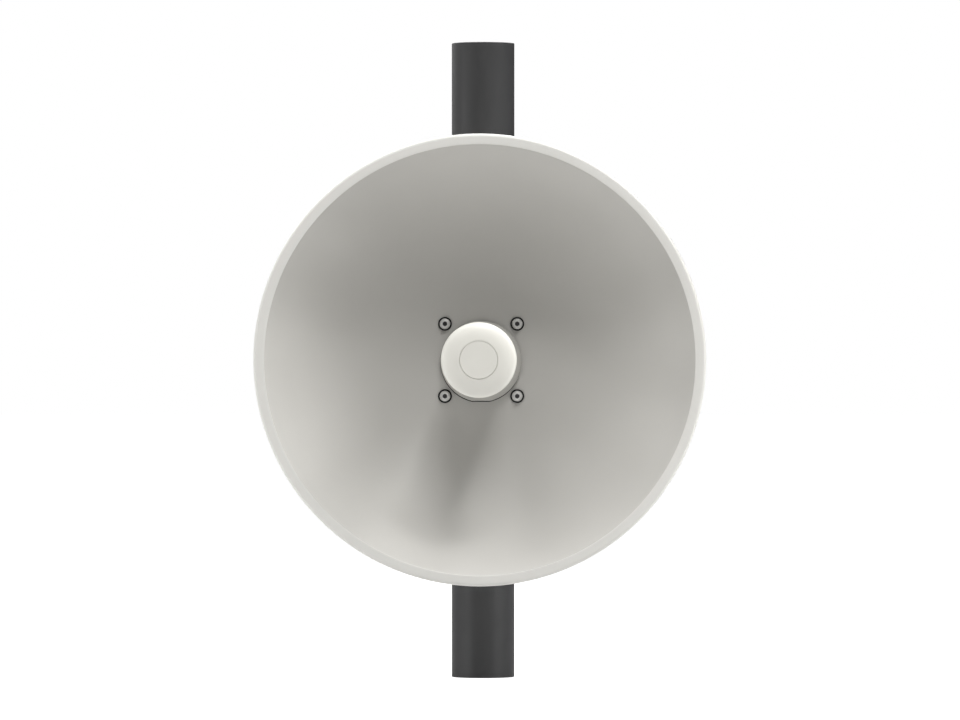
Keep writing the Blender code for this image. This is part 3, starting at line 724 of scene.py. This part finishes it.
def make_collar_shadow_ring():
    """A dark ring under the collar, set low and a little aside so that it shows only as a thin crescent
    below it: painted shadow standing in for the collar's contact shadow.
    """
    inner = DISH_BORE_RADIUS - GAP + SHADOW_RING_DROP + COLLAR_DROP
    seal = spun([
        (inner, GAP, 0),
        (COLLAR_RADIUS, GAP, 0.0002),
        (COLLAR_RADIUS, SHADOW_RING_HEIGHT, 0.0002),
        (inner, SHADOW_RING_HEIGHT, 0),
    ], DISH_STEPS, closed=True)
    # Dropping the dark ring below the collar paints the crescent of shadow under its edge.
    moved_by(seal, (-SHADOW_RING_ASIDE, -COLLAR_DROP - SHADOW_RING_DROP, 0))
    seal = carved(seal, above(-COLLAR_FLAT - SHADOW_RING_DROP), "INTERSECT")
    turned_to(seal, FORWARD, DISH_CENTRE)
    shown(seal, "collar_shadow_ring", "rubber", BODY_OF["feed_collar"])


def make_feed_tube():
    """The tapered tube between the collar and the cap, with a turned joint line near its tip."""
    tip = DISH_FLOOR_Y - CAP_FRONT_Y - CAP_LENGTH
    slope = (TUBE_TIP_RADIUS - TUBE_BASE_RADIUS) / (tip - COLLAR_HEIGHT)
    joint = tip - JOINT_SETBACK
    radius = TUBE_BASE_RADIUS + slope * (joint - COLLAR_HEIGHT)
    tube = spun([
        (0, COLLAR_HEIGHT + GAP, 0),
        (TUBE_BASE_RADIUS, COLLAR_HEIGHT + GAP, 0.0005),
        (radius, joint, 0.0002),
        (radius - JOINT_DEPTH, joint + 0.0003, 0),
        (radius - JOINT_DEPTH, joint + JOINT_WIDTH - 0.0003, 0),
        (radius - 0.0001, joint + JOINT_WIDTH, 0.0002),
        (TUBE_TIP_RADIUS, tip - GAP, 0.0003),
        (0, tip - GAP, 0),
    ], DISH_STEPS)
    dressed(turned_to(tube, FORWARD, DISH_CENTRE), "feed_tube", "feed")


def make_cap():
    """The mushroom cap, with a broad shoulder, a curved crown and a shallow recess in its front."""
    shoulder = CAP_LENGTH - CAP_SHOULDER
    rings = [
        (0, 0, 0),
        (TUBE_TIP_RADIUS + 0.001, 0, 0.0004),
        (TUBE_TIP_RADIUS + 0.004, 0.005, 0.002),
        (CAP_RADIUS - 0.002, shoulder - 0.0055, 0.001),
        (CAP_RADIUS, shoulder - 0.0035, 0.001),
    ]
    reach = CAP_RADIUS - CAP_CROWN_MIDDLE
    top = acos((RECESS_RADIUS - CAP_CROWN_MIDDLE) / reach)
    for i in range(CAP_CROWN_RINGS + 1):
        turn = top * i / CAP_CROWN_RINGS
        height = CAP_LENGTH - CAP_CROWN * (1 - sin(turn) / sin(top))
        rings.append((CAP_CROWN_MIDDLE + reach * cos(turn), height, 0))
    rings += [
        (RECESS_RADIUS, CAP_LENGTH - RECESS_DEPTH, 0),
        (0, CAP_LENGTH - RECESS_DEPTH, 0),
    ]
    place = (0, CAP_FRONT_Y + CAP_LENGTH, AXIS_HEIGHT)
    dressed(turned_to(spun(rings, DISH_STEPS), FORWARD, place), "feed_cap", "cap")


def make_cap_disc():
    """The plain disc let into the cap's front."""
    disc = spun([
        (0, GAP, 0),
        (DISC_RADIUS, GAP, 0),
        (DISC_RADIUS, RECESS_DEPTH, 0.0003),
        (0, RECESS_DEPTH, 0),
    ], DISH_STEPS)
    place = (0, CAP_FRONT_Y + RECESS_DEPTH, AXIS_HEIGHT)
    dressed(turned_to(disc, FORWARD, place), "cap_disc", "cap")


def hexagon(across_flats, start, end):
    """A hexagonal bar along Z, with two flats facing X."""
    corner = across_flats / 2 / cos(pi / 6)
    bar = spun([(0, start, 0), (corner, start, 0), (corner, end, 0), (0, end, 0)], 6)
    return rolled(bar, pi / 6)


def turned_hexagon(across_flats, start, end, rings, closed=False):
    """A hexagonal bar, with its corners turned down to a line of rings."""
    return carved(hexagon(across_flats, start, end), spun(rings, SMALL_STEPS, closed), "INTERSECT")


def front_screw(seat):
    """A button-head screw over its washer, with a pin in a hexagon socket whose faces get a near-black
    material as painted shade.
    """
    top = seat + SCREW_HEAD_HEIGHT
    floor = top - SCREW_SOCKET_DEPTH
    screw = spun([
        (0, -SCREW_LENGTH, 0),
        (SCREW_RADIUS, -SCREW_LENGTH, 0.0005),
        (SCREW_RADIUS, seat, 0),
        (SCREW_HEAD_RADIUS, seat, 0.0002),
        (SCREW_HEAD_RADIUS, seat + 0.0010, 0.0004),
        (SCREW_HEAD_RADIUS - 0.0007, top - 0.0008, 0.0005),
        (SCREW_HEAD_RADIUS - 0.0016, top, 0.0004),
        (0, top, 0),
    ])
    screw = carved(screw, hexagon(SCREW_SOCKET, floor, top + 0.001))
    with_shape(screw, rod(SCREW_PIN_RADIUS, floor - 0.0002, top - 0.0008, 16))
    # Faces inside the socket take the second, near-black material: painted shade in the recess.
    for face in screw.faces:
        middle = face.calc_center_median()
        inside = hypot(*middle.xy) < SOCKET_SHADE_REACH and 0.0002 < top - middle.z < 0.003
        face.material_index = int(inside)
    return screw


def make_front_screws():
    """Four screws on a square round the feed, each on a dark ring washer."""
    seat = 2 * GAP + WASHER_THICKNESS
    for level, up in LEVELS:
        for side, right in SIDES:
            place = (right * SCREW_HALF, DISH_FLOOR_Y, AXIS_HEIGHT + up * SCREW_HALF)
            screw = turned_to(front_screw(seat), FORWARD, place)
            piece = dressed(screw, f"front_screw_{level}_{side}", "plated")
            # Second material: the near-black painted shade of the socket.
            piece.data.materials.append(FINISHES["socket_shade"])
            ring = spun([
                (SCREW_RADIUS + GAP, GAP, 0),
                (WASHER_RADIUS, GAP, 0.0003),
                (WASHER_RADIUS, seat - GAP, 0.0004),
                (SCREW_RADIUS + GAP, seat - GAP, 0),
            ], closed=True)
            turned_to(ring, FORWARD, place)
            dressed(ring, f"screw_washer_{level}_{side}", "rubber")


def channel(line, low, high, bend):
    """A sheet seen from above, pushed from low to high, with its bends rounded."""
    bm = bmesh.new()
    points = [bm.verts.new((x, y, low)) for x, y in line]
    edges = [bm.edges.new(pair) for pair in zip(points, points[1:])]
    pushed_up(bm, bmesh.ops.extrude_edge_only(bm, edges=edges), high - low)
    soften(bm, bend, [edge for edge in bm.edges if len(edge.link_faces) == 2], 6)
    return bm


def trimmed(bm, point, outward):
    """Cuts away what lies beyond a plane."""
    everything = bm.verts[:] + bm.edges[:] + bm.faces[:]
    bmesh.ops.bisect_plane(bm, geom=everything, plane_co=point, plane_no=outward, clear_outer=True)
    return bm


def rounded_at(bm, y, z, rounding):
    """Rounds the corners of both side walls at a height and depth."""
    corners = [v for v in bm.verts if abs(v.co.y - y) + abs(v.co.z - z) < 0.0005]
    soften(bm, rounding, corners, 6, "VERTICES")
    return bm


def cross_hole(radius, place):
    """A tool for a round hole through both side walls."""
    return turned_to(rod(radius, -CUT_REACH, CUT_REACH), RIGHT, place)


def make_yoke():
    """The channel between the dish and the radio, with tapered side walls."""
    front = DISH_FLOOR_Y + DISH_SHEET + GAP
    wide, tall = YOKE_HALF_WIDTH, YOKE_HALF_HEIGHT
    line = [(-wide, YOKE_END_Y), (-wide, front), (wide, front), (wide, YOKE_END_Y)]
    sheet = channel(line, -tall, tall, SHEET_BEND)
    start = YOKE_TAPER_Y
    trimmed(sheet, (0, start, -tall), (0, YOKE_END_BOTTOM + tall, start - YOKE_END_Y))
    trimmed(sheet, (0, start, tall), (0, tall - YOKE_END_TOP, YOKE_END_Y - start))
    rounded_at(sheet, YOKE_END_Y, YOKE_END_BOTTOM, YOKE_BOTTOM_CORNER)
    rounded_at(sheet, YOKE_END_Y, YOKE_END_TOP, YOKE_TOP_CORNER)
    thickened(sheet, (0, 0, 0), PLATE)
    sheet = carved(sheet, turned_to(rod(DISH_BORE_RADIUS, -0.01, 0.01), FORWARD, (0, front, 0)))
    for height in (0, SLOT_RADIUS):
        sheet = carved(sheet, cross_hole(BOLT_HOLE, (0, PIVOT_Y, height)))
    tidied(sheet)
    soften(sheet, SHEET_EDGE, sharp_edges(sheet), 2)
    dressed(moved_by(sheet, (0, 0, AXIS_HEIGHT)), "yoke", "zinc")


def slot_tools():
    """Tools for both ears' slots: a bar bent round the tilt axis, and a round bar at each of its ends."""
    bar = bmesh.new()
    low, high = SLOT_RADIUS - BOLT_HOLE + NEAR, SLOT_RADIUS + BOLT_HOLE - NEAR
    places = ((-CUT_REACH, 0, low), (CUT_REACH, 0, low), (CUT_REACH, 0, high), (-CUT_REACH, 0, high))
    corners = [bar.verts.new(place) for place in places]
    edges = [bar.edges.new((corners[i], corners[i - 1])) for i in range(4)]
    bmesh.ops.spin(
        bar, geom=corners + edges, cent=(0, 0, 0), axis=RIGHT, angle=2 * SLOT_REACH, steps=16
    )
    bmesh.ops.holes_fill(bar, edges=[edge for edge in bar.edges if edge.is_boundary], sides=4)
    bmesh.ops.recalc_face_normals(bar, faces=bar.faces)
    tools = [rolled(bar, -SLOT_REACH, "X")]
    for side in (-1, 1):
        tools.append(rolled(cross_hole(BOLT_HOLE, (0, 0, SLOT_RADIUS)), side * SLOT_REACH, "X"))
    return [moved_by(tool, (0, PIVOT_Y, 0)) for tool in tools]


def tilt_marks():
    """Short scribed lines over the slots, one for every five degrees of tilt, the middle one longer."""
    marks = bmesh.new()
    foot = SLOT_RADIUS + BOLT_HOLE + MARK_SETBACK
    for step in range(-3, 4):
        tip = foot + (MARK_LENGTH if step else LEVEL_MARK_LENGTH)
        for side in (-1, 1):
            x = sorted((side * (EAR_OUTER + 0.001), side * (EAR_OUTER - MARK_DEPTH)))
            mark = block((x[0], -MARK_HALF_WIDTH, foot), (x[1], MARK_HALF_WIDTH, tip))
            with_shape(marks, rolled(mark, step * MARK_STEP, "X"))
    return moved_by(marks, (0, PIVOT_Y, 0))


def make_bracket():
    """The plate at the mast, whose ears carry the head."""
    wide, tall = EAR_OUTER, EAR_TOP
    line = [(-wide, EAR_NOSE_Y), (-wide, WEB_REAR_Y), (wide, WEB_REAR_Y), (wide, EAR_NOSE_Y)]
    sheet = channel(line, -tall, tall, SHEET_BEND)
    trimmed(sheet, (0, EAR_TAPER_Y, -tall), (0, -(EAR_BOTTOM + tall), EAR_NOSE_Y - EAR_TAPER_Y))
    rounded_at(sheet, EAR_NOSE_Y, EAR_BOTTOM, EAR_BOTTOM_CORNER)
    rounded_at(sheet, EAR_NOSE_Y, EAR_TOP, EAR_TOP_CORNER)
    thickened(sheet, (0, EAR_NOSE_Y, 0), PLATE)
    for tool in slot_tools():
        sheet = carved(sheet, tool)
    sheet = carved(sheet, cross_hole(BOLT_HOLE, (0, PIVOT_Y, 0)))
    for side in (-1, 1):
        place = (side * CLAMP_SPREAD, WEB_REAR_Y, 0)
        sheet = carved(sheet, turned_to(rod(BOLT_HOLE, -0.01, 0.01), BACKWARD, place))
    tidied(sheet)
    soften(sheet, SHEET_EDGE, sharp_edges(sheet), 2)
    sheet = carved(sheet, tilt_marks())
    dressed(moved_by(sheet, (0, 0, AXIS_HEIGHT)), "pole_bracket", "zinc")


def make_casting(node, outline, facing):
    """A clamp casting round the mast: its outline pushed up, soft edges, holes for the clamp bolts."""
    casting = plate(outline, 2 * CASTING_HALF_HEIGHT, 4)
    tidied(casting)
    soften(casting, 0.0010, sharp_edges(casting, radians(30)), 3)
    moved_by(casting, (0, 0, AXIS_HEIGHT - CASTING_HALF_HEIGHT))
    reach = 0.03
    for side in (-1, 1):
        place = (side * CLAMP_SPREAD, facing * reach, AXIS_HEIGHT)
        casting = carved(casting, turned_to(rod(BOLT_HOLE, -reach, reach), BACKWARD, place))
    dressed(casting, node, "cast")


def make_castings():
    """The saddle before the mast and the jaw behind it, each with a vee that bears on the tube."""
    vee = (POLE_RADIUS + GAP) / sin(VEE_HALF_ANGLE)
    mouth = (vee - JAW_OPENING_Y) * tan(VEE_HALF_ANGLE)
    wide, corner, wing = CASTING_HALF_WIDTH, CASTING_CORNER, JAW_WING_Y
    make_casting("front_saddle", [
        (-wide, WEB_REAR_Y + GAP, corner),
        (wide, WEB_REAR_Y + GAP, corner),
        (wide, -JAW_OPENING_Y, corner),
        (mouth, -JAW_OPENING_Y, MOUTH_CORNER),
        (0, -vee, 0.0015),
        (-mouth, -JAW_OPENING_Y, MOUTH_CORNER),
        (-wide, -JAW_OPENING_Y, corner),
    ], -1)
    make_casting("rear_jaw", [
        (-wide, JAW_OPENING_Y, corner),
        (-mouth, JAW_OPENING_Y, MOUTH_CORNER),
        (0, vee, 0.0015),
        (mouth, JAW_OPENING_Y, MOUTH_CORNER),
        (wide, JAW_OPENING_Y, corner),
        (wide, wing, corner),
        (JAW_FOOT_HALF_WIDTH, wing, 0.0015),
        (JAW_BACK_HALF_WIDTH, JAW_BACK_Y, 0.0035),
        (-JAW_BACK_HALF_WIDTH, JAW_BACK_Y, 0.0035),
        (-JAW_FOOT_HALF_WIDTH, wing, 0.0015),
        (-wide, wing, corner),
    ], 1)


def thread(radius, start, end, pitch):
    """A screw thread along Z: a zigzag line that climbs one pitch in one turn, cut flat at both ends."""
    bm = bmesh.new()
    root = radius - 0.6 * pitch
    teeth = int((end - start) / pitch) + 3
    line = []
    for i in range(2 * teeth + 1):
        line.append(bm.verts.new((radius if i % 2 else root, 0, start - pitch + i * pitch / 2)))
    edges = [bm.edges.new(pair) for pair in zip(line, line[1:])]
    bmesh.ops.spin(
        bm, geom=line + edges, cent=(0, 0, 0), axis=UP, angle=2 * pi, steps=THREAD_STEPS,
        dvec=(0, 0, pitch / THREAD_STEPS),
    )
    bmesh.ops.remove_doubles(bm, verts=bm.verts, dist=NEAR / 2)
    trimmed(bm, (0, 0, end), UP)
    trimmed(bm, (0, 0, start), DOWN)
    bmesh.ops.holes_fill(bm, edges=[edge for edge in bm.edges if edge.is_boundary], sides=0)
    bmesh.ops.recalc_face_normals(bm, faces=bm.faces)
    return bm


def washer(radius, thickness):
    """A flat washer on the XY plane."""
    return spun([
        (BOLT_HOLE, 0, 0),
        (radius, 0, 0.0002),
        (radius, thickness, 0.0002),
        (BOLT_HOLE, thickness, 0.0002),
    ], SMALL_STEPS, closed=True)


def hex_bolt(length, plain):
    """A bolt along Z with its head below: head, washer, plain shank and thread."""
    half = BOLT_FLATS / 2
    bolt = turned_hexagon(BOLT_FLATS, -BOLT_HEAD, -WASHER_FLAT, [
        (0, -BOLT_HEAD, 0),
        (half * FACE_SHARE, -BOLT_HEAD, 0.0002),
        (half * CORNER_SHARE, -BOLT_HEAD + 0.0009, 0),
        (half * CORNER_SHARE, -WASHER_FLAT, 0),
        (0, -WASHER_FLAT, 0),
    ])
    flat = washer(WASHER_OUTER, WASHER_FLAT - WASHER_PLAY)
    with_shape(bolt, moved_by(flat, (0, 0, -WASHER_FLAT + WASHER_PLAY / 2)))
    with_shape(bolt, rod(BOLT_RADIUS, -WASHER_FLAT - OVERLAP, plain, 24))
    return with_shape(bolt, thread(BOLT_RADIUS, plain - OVERLAP, length, BOLT_PITCH))


def hex_nut():
    """A nut along Z on its washer, with a chamfered hexagon and a countersunk bore."""
    half = BOLT_FLATS / 2
    nut = turned_hexagon(BOLT_FLATS, WASHER_FLAT, NUT_HEIGHT, [
        (BOLT_HOLE, WASHER_FLAT, 0),
        (half * 0.96, WASHER_FLAT, 0),
        (half * CORNER_SHARE, WASHER_FLAT + 0.0008, 0),
        (half * CORNER_SHARE, NUT_HEIGHT - 0.0008, 0),
        (half * FACE_SHARE, NUT_HEIGHT, 0),
        (BOLT_HOLE + 0.0004, NUT_HEIGHT, 0),
        (BOLT_HOLE, NUT_HEIGHT - 0.0005, 0),
    ], closed=True)
    return with_shape(nut, washer(WASHER_OUTER, WASHER_FLAT - WASHER_PLAY))


def make_clamp_bolts():
    """A long bolt on each side of the mast, from the bracket's web to the jaw."""
    seat = WEB_REAR_Y - PLATE - GAP
    nut_seat = JAW_WING_Y + GAP
    length = nut_seat + NUT_HEIGHT + CLAMP_BOLT_TIP - seat
    for side, right in SIDES:
        x = right * CLAMP_SPREAD
        bolt = hex_bolt(length, length - CLAMP_BOLT_THREAD)
        turned_to(bolt, BACKWARD, (x, seat, AXIS_HEIGHT))
        dressed(bolt, f"clamp_bolt_{side}", "stainless")
        nut = turned_to(hex_nut(), BACKWARD, (x, nut_seat, AXIS_HEIGHT))
        dressed(nut, f"clamp_nut_{side}", "stainless")


def make_side_bolts():
    """The pivot bolts and the tilt lock bolts, through the ears and the yoke's side walls."""
    seat = EAR_OUTER + GAP
    nut_seat = YOKE_HALF_WIDTH - PLATE - GAP
    length = seat - nut_seat + NUT_HEIGHT + SIDE_BOLT_TIP
    for name, height in (("pivot", AXIS_HEIGHT), ("slot", AXIS_HEIGHT + SLOT_RADIUS)):
        for side, right in SIDES:
            inward = (-right, 0, 0)
            bolt = rolled(hex_bolt(length, SIDE_BOLT_PLAIN), pi / 2)
            turned_to(bolt, inward, (right * seat, PIVOT_Y, height))
            dressed(bolt, f"{name}_bolt_{side}", "stainless")
            nut = turned_to(rolled(hex_nut(), pi / 2), inward, (right * nut_seat, PIVOT_Y, height))
            dressed(nut, f"{name}_nut_{side}", "stainless")


def case_plate(inset, thickness):
    """A plate with the radio's outline, drawn in by an inset."""
    wide, tall = HOUSING_HALF_WIDTH - inset, HOUSING_HALF_HEIGHT - inset
    return plate(rectangle(wide, tall, HOUSING_CORNER - inset), thickness, 8)


def make_housing():
    """The radio's moulded case: a body with ribs on its sides, and a flange that carries the seal."""
    front = DISH_FLOOR_Y + DISH_SHEET + PLATE + 2 * GAP
    depth = HOUSING_REAR_Y - front
    body = case_plate(HOUSING_INSET, depth - 0.001)
    soften(body, 0.0015, sharp_edges(body), 4)
    flange = case_plate(0, HOUSING_FLANGE)
    soften(flange, 0.0008, sharp_edges(flange), 3)
    case = joined(body, moved_by(flange, (0, 0, depth - HOUSING_FLANGE)))
    for height in RIB_HEIGHTS:
        for side in (-1, 1):
            x = side * (HOUSING_HALF_WIDTH - HOUSING_INSET)
            low = (x - RIB_HALF, height - RIB_HALF, RIB_START)
            rib = block(low, (x + RIB_HALF, height + RIB_HALF, RIB_END))
            soften(rib, 0.0004, sharp_edges(rib), 2)
            with_shape(case, rib)
    dressed(turned_to(case, BACKWARD, (0, front, AXIS_HEIGHT)), "radio_housing", "case")


def make_housing_seal():
    """The rubber seal between the housing and its rear cover."""
    seal = case_plate(SEAL_INSET, SEAL_THICKNESS)
    soften(seal, 0.0004, sharp_edges(seal), 2)
    turned_to(seal, BACKWARD, (0, HOUSING_REAR_Y + GAP, AXIS_HEIGHT))
    dressed(seal, "housing_seal", "rubber")


def cooling_fin():
    """One fin of the rear cover, long in Y, standing up in Z and thinner toward its tip."""
    fin = plate([
        (-FIN_HALF_LENGTH, 0, 0),
        (FIN_HALF_LENGTH, 0, 0),
        (FIN_HALF_LENGTH - 0.0012, FIN_HEIGHT + FIN_ROOT, 0.0025),
        (-FIN_HALF_LENGTH + 0.0012, FIN_HEIGHT + FIN_ROOT, 0.0025),
    ], FIN_THICKNESS, 4)
    moved_by(fin, (0, 0, -FIN_THICKNESS / 2))
    for point in fin.verts:
        point.co.z *= 1 + FIN_DRAFT * (1 - 2 * point.co.y / FIN_HEIGHT)
    tips = [edge for edge in sharp_edges(fin) if min(point.co.y for point in edge.verts) > FIN_ROOT / 2]
    soften(fin, 0.0006, tips, 2)
    rolled(fin, pi / 2, "X")
    return rolled(fin, pi / 2, "Z")


def make_rear_cover():
    """The cast cover with its cooling fins, and a recess for a screw in each corner."""
    cover = case_plate(0, COVER_THICKNESS)
    soften(cover, 0.0012, sharp_edges(cover), 3)
    for i in range(FIN_COUNT):
        x = (i - (FIN_COUNT - 1) / 2) * FIN_PITCH
        cover = joined(cover, moved_by(cooling_fin(), (x, 0, COVER_THICKNESS - FIN_ROOT)))
    for right in (-1, 1):
        for up in (-1, 1):
            recess = rod(0.0040, COVER_THICKNESS - COVER_RECESS, COVER_THICKNESS + 0.01, 32)
            cover = carved(cover, moved_by(recess, (right * COVER_SCREW_X, up * COVER_SCREW_Z, 0)))
    dressed(turned_to(cover, BACKWARD, (0, COVER_Y, AXIS_HEIGHT)), "rear_cover", "cover")


def make_cover_screws():
    """A socket screw in each corner of the rear cover."""
    body, slot = BODY_OF["rear_cover"], SLOT_OF["earth_stud"]
    y = COVER_Y + COVER_THICKNESS - COVER_RECESS + 0.0001
    for side, right in SIDES:
        for level, up in LEVELS:
            screw = spun([
                (0, -0.004, 0),
                (0.0015, -0.004, 0),
                (0.0015, 0, 0),
                (COVER_SCREW_RADIUS, 0, 0.0002),
                (COVER_SCREW_RADIUS, 0.0012, 0.0006),
                (0.0020, COVER_SCREW_HEIGHT, 0.0004),
                (0, COVER_SCREW_HEIGHT, 0),
            ], SMALL_STEPS)
            screw = carved(screw, hexagon(0.0025, 0.0006, 0.01))
            turned_to(screw, BACKWARD, (right * COVER_SCREW_X, y, AXIS_HEIGHT + up * COVER_SCREW_Z))
            shown(screw, f"cover_screw_{level}_{side}", "stainless", body)


def make_port_door():
    """The screwed-on door over the ports, with a well for each of its screws."""
    thickness = DOOR_THICKNESS - GAP
    door = plate(rectangle(DOOR_HALF_WIDTH, DOOR_HALF_DEPTH, 0.004), thickness, 5)
    soften(door, 0.0007, sharp_edges(door), 3)
    for x in (-DOOR_SCREW_X, DOOR_SCREW_X):
        well = rod(0.0031, thickness - DOOR_WELL, 0.01, 32)
        door = carved(door, moved_by(well, (x, 0, 0)))
    dressed(turned_to(door, DOWN, (0, GLAND_Y, UNDERSIDE - GAP)), "port_door", "case")


def make_door_screws():
    """A slotted screw in each of the door's wells."""
    body, slot = BODY_OF["port_door"], SLOT_OF["earth_stud"]
    for side, right in SIDES:
        screw = spun([(0, 0, 0), (0.0028, 0, 0), (0.0028, 0.0010, 0.0005), (0, 0.0010, 0)], 32)
        screw = carved(screw, block((-0.004, -0.00035, 0.0004), (0.004, 0.00035, 0.01)))
        turned_to(screw, DOWN, (right * DOOR_SCREW_X, GLAND_Y, UNDERSIDE - DOOR_THICKNESS + DOOR_WELL))
        shown(screw, f"door_screw_{side}", "stainless", body)


def make_gland_body():
    """The gland's hexagon, under the door."""
    start, end = DOOR_THICKNESS + GAP, DOOR_THICKNESS + GLAND_BODY
    body = turned_hexagon(GLAND_FLATS, start, end, [
        (0, start, 0),
        (GLAND_CORNER - 0.0008, start, 0),
        (GLAND_CORNER, start + 0.0006, 0),
        (GLAND_CORNER, end - 0.0006, 0),
        (GLAND_CORNER - 0.0008, end, 0),
        (0, end, 0),
    ])
    dressed(turned_to(body, DOWN, (0, GLAND_Y, UNDERSIDE)), "gland_body", "nylon")


def make_gland_nut():
    """The gland's domed nut, with an open mouth and grooves round its dome."""
    start = DOOR_THICKNESS + GLAND_BODY + GAP
    end = start + GLAND_NUT
    nut = turned_hexagon(GLAND_FLATS, start, end, [
        (GLAND_MOUTH, end - 0.005, 0),
        (0, end - 0.005, 0),
        (0, start, 0),
        (GLAND_CORNER - 0.0009, start, 0),
        (GLAND_CORNER, start + 0.0007, 0),
        (GLAND_CORNER, end - 0.0070, 0.0008),
        (0.0106, end - 0.0048, 0.0016),
        (0.0090, end - 0.0015, 0.0012),
        (0.0066, end, 0.0008),
        (GLAND_MOUTH, end, 0.0004),
        (GLAND_MOUTH, end - 0.005, 0),
    ])
    for i in range(GLAND_GROOVES):
        groove = moved_by(rod(0.0005, end - 0.0066, end - 0.0010, 12), (0.0103, 0, 0))
        nut = carved(nut, rolled(groove, 2 * pi * i / GLAND_GROOVES))
    dressed(turned_to(nut, DOWN, (0, GLAND_Y, UNDERSIDE)), "gland_nut", "nylon")


def make_vent_plug():
    """The rubber vent plug, with a cross cut into its face."""
    vent = spun([
        (0, GAP, 0),
        (VENT_RADIUS, GAP, 0),
        (VENT_RADIUS, VENT_HEIGHT, 0.0009),
        (0.0036, VENT_HEIGHT, 0.0002),
        (0.0033, 0.0039, 0),
        (0, 0.0039, 0),
    ])
    for turn in (0, pi / 2):
        cross = block((-0.006, -0.0005, 0.0030), (0.006, 0.0005, 0.01))
        vent = carved(vent, rolled(cross, turn))
    turned_to(vent, DOWN, (FITTING_SPREAD, GLAND_Y, UNDERSIDE))
    dressed(vent, "vent_plug", "rubber")


def make_earth_stud():
    """The earth stud, with its washer and its nut."""
    foot, top = 0.0012, 0.004
    stud = turned_hexagon(STUD_FLATS, foot, top, [
        (0, foot, 0),
        (0.0043, foot, 0),
        (0.0047, foot + 0.0005, 0),
        (0.0047, top - 0.0005, 0),
        (0.0038, top, 0),
        (0, top, 0),
    ])
    rim, under = 0.0049, foot - WASHER_PLAY
    with_shape(stud, spun([(0, GAP, 0), (rim, GAP, 0.0002), (rim, under, 0.0002), (0, under, 0)], 32))
    with_shape(stud, thread(STUD_RADIUS, top - OVERLAP, STUD_LENGTH, STUD_PITCH))
    turned_to(stud, DOWN, (-FITTING_SPREAD, GLAND_Y, UNDERSIDE))
    dressed(stud, "earth_stud", "stainless")


def glowing(tree, strength):
    """A plain grey shader that glows."""
    shader = tree.nodes.new("ShaderNodeBsdfPrincipled")
    put(shader, {
        "Base Color": (FLOOR_GREY, FLOOR_GREY, FLOOR_GREY, 1),
        "Roughness": 0.9,
        "Emission Color": WHITE,
        "Emission Strength": strength,
    })
    return shader.outputs["BSDF"]


def seen_apart(tree, lit, seen, output):
    """Gives the camera one shader and the light another, so that the backdrop reads white."""
    choice = tree.nodes.new("ShaderNodeMixShader")
    to_camera = tree.nodes.new("ShaderNodeLightPath").outputs["Is Camera Ray"]
    for i, source in enumerate((to_camera, lit, seen)):
        tree.links.new(source, choice.inputs[i])
    tree.links.new(choice.outputs["Shader"], output.inputs["Surface"])


def make_surround():
    """The surround, which the camera sees white and which lights the part faintly."""
    world = bpy.data.worlds.new("surround")
    bpy.context.scene.world = world
    world.use_nodes = True
    tree = world.node_tree
    soft = tree.nodes["Background"]
    put(soft, {"Color": WHITE, "Strength": SURROUND})
    white = tree.nodes.new("ShaderNodeBackground")
    put(white, {"Color": WHITE})
    seen_apart(tree, soft.outputs["Background"], white.outputs["Background"], tree.nodes["World Output"])


def make_floor():
    """The floor, which the camera sees white and which throws a little light back on the part."""
    ground = bmesh.new()
    bmesh.ops.create_grid(ground, x_segments=1, y_segments=1, size=FLOOR_HALF)
    moved_by(ground, (0, 0, -0.0005))
    floor = placed("floor", mesh_of(ground, "floor"))
    pale = bpy.data.materials.new("pale_floor")
    pale.use_nodes = True
    tree = pale.node_tree
    tree.nodes.remove(tree.nodes["Principled BSDF"])
    seen_apart(tree, glowing(tree, FLOOR_GLOW), glowing(tree, FLOOR_WHITE), tree.nodes["Material Output"])
    floor.data.materials.append(pale)


def make_camera():
    """The camera, at the height of the dish's axis and a little to the right of it."""
    data = bpy.data.cameras.new("camera")
    data.lens = CAMERA_LENS
    data.clip_end = 100
    camera = placed("camera", data)
    aside, back = CAMERA_DISTANCE * sin(CAMERA_TURN), CAMERA_DISTANCE * cos(CAMERA_TURN)
    camera.location = (aside, DISH_FLOOR_Y - DISH_DEPTH - back, AXIS_HEIGHT)
    camera.rotation_euler = (pi / 2, 0, CAMERA_TURN - CAMERA_AIM)
    bpy.context.scene.camera = camera


def square_light(name, size, power, place, aim):
    """A square light at a place, facing a point, that the camera doesn't see."""
    lamp = bpy.data.lights.new(name, "AREA")
    lamp.size = size
    lamp.energy = power
    holder = placed(name, lamp)
    holder.visible_camera = False
    holder.location = place
    holder.rotation_euler = (Vector(place) - Vector(aim)).to_track_quat("Z", "Y").to_euler()


def soft_light(name, azimuth, elevation, size, power):
    """A soft box that faces the dish. Azimuth 0 is straight in front of it and 90 is at its right."""
    a, e = radians(azimuth), radians(elevation)
    away = Vector((sin(a) * cos(e), -cos(a) * cos(e), sin(e)))
    aim = Vector((0, LIGHT_AIM_Y, AXIS_HEIGHT))
    square_light(name, size, power, aim + away * LIGHT_DISTANCE, aim)


def low_card(name, x, power):
    """A small light near the floor beside the dish, which lightens its lip from below."""
    square_light(name, CARD_SIZE, power, (x, CARD_Y, CARD_HEIGHT), (0, CARD_Y, CARD_AIM))


make_surround()
make_floor()
make_camera()
make_pole()
make_pole_plugs()
make_reflector()
make_collar()
make_collar_shadow_ring()
make_feed_tube()
make_cap()
make_cap_disc()
make_front_screws()
make_yoke()
make_bracket()
make_castings()
make_clamp_bolts()
make_side_bolts()
make_housing()
make_housing_seal()
make_rear_cover()
make_cover_screws()
make_port_door()
make_door_screws()
make_gland_body()
make_gland_nut()
make_vent_plug()
make_earth_stud()
for values in LIGHTS:
    soft_light(*values)
for values in CARDS:
    low_card(*values)

bpy.context.scene.view_settings.view_transform = "Standard"
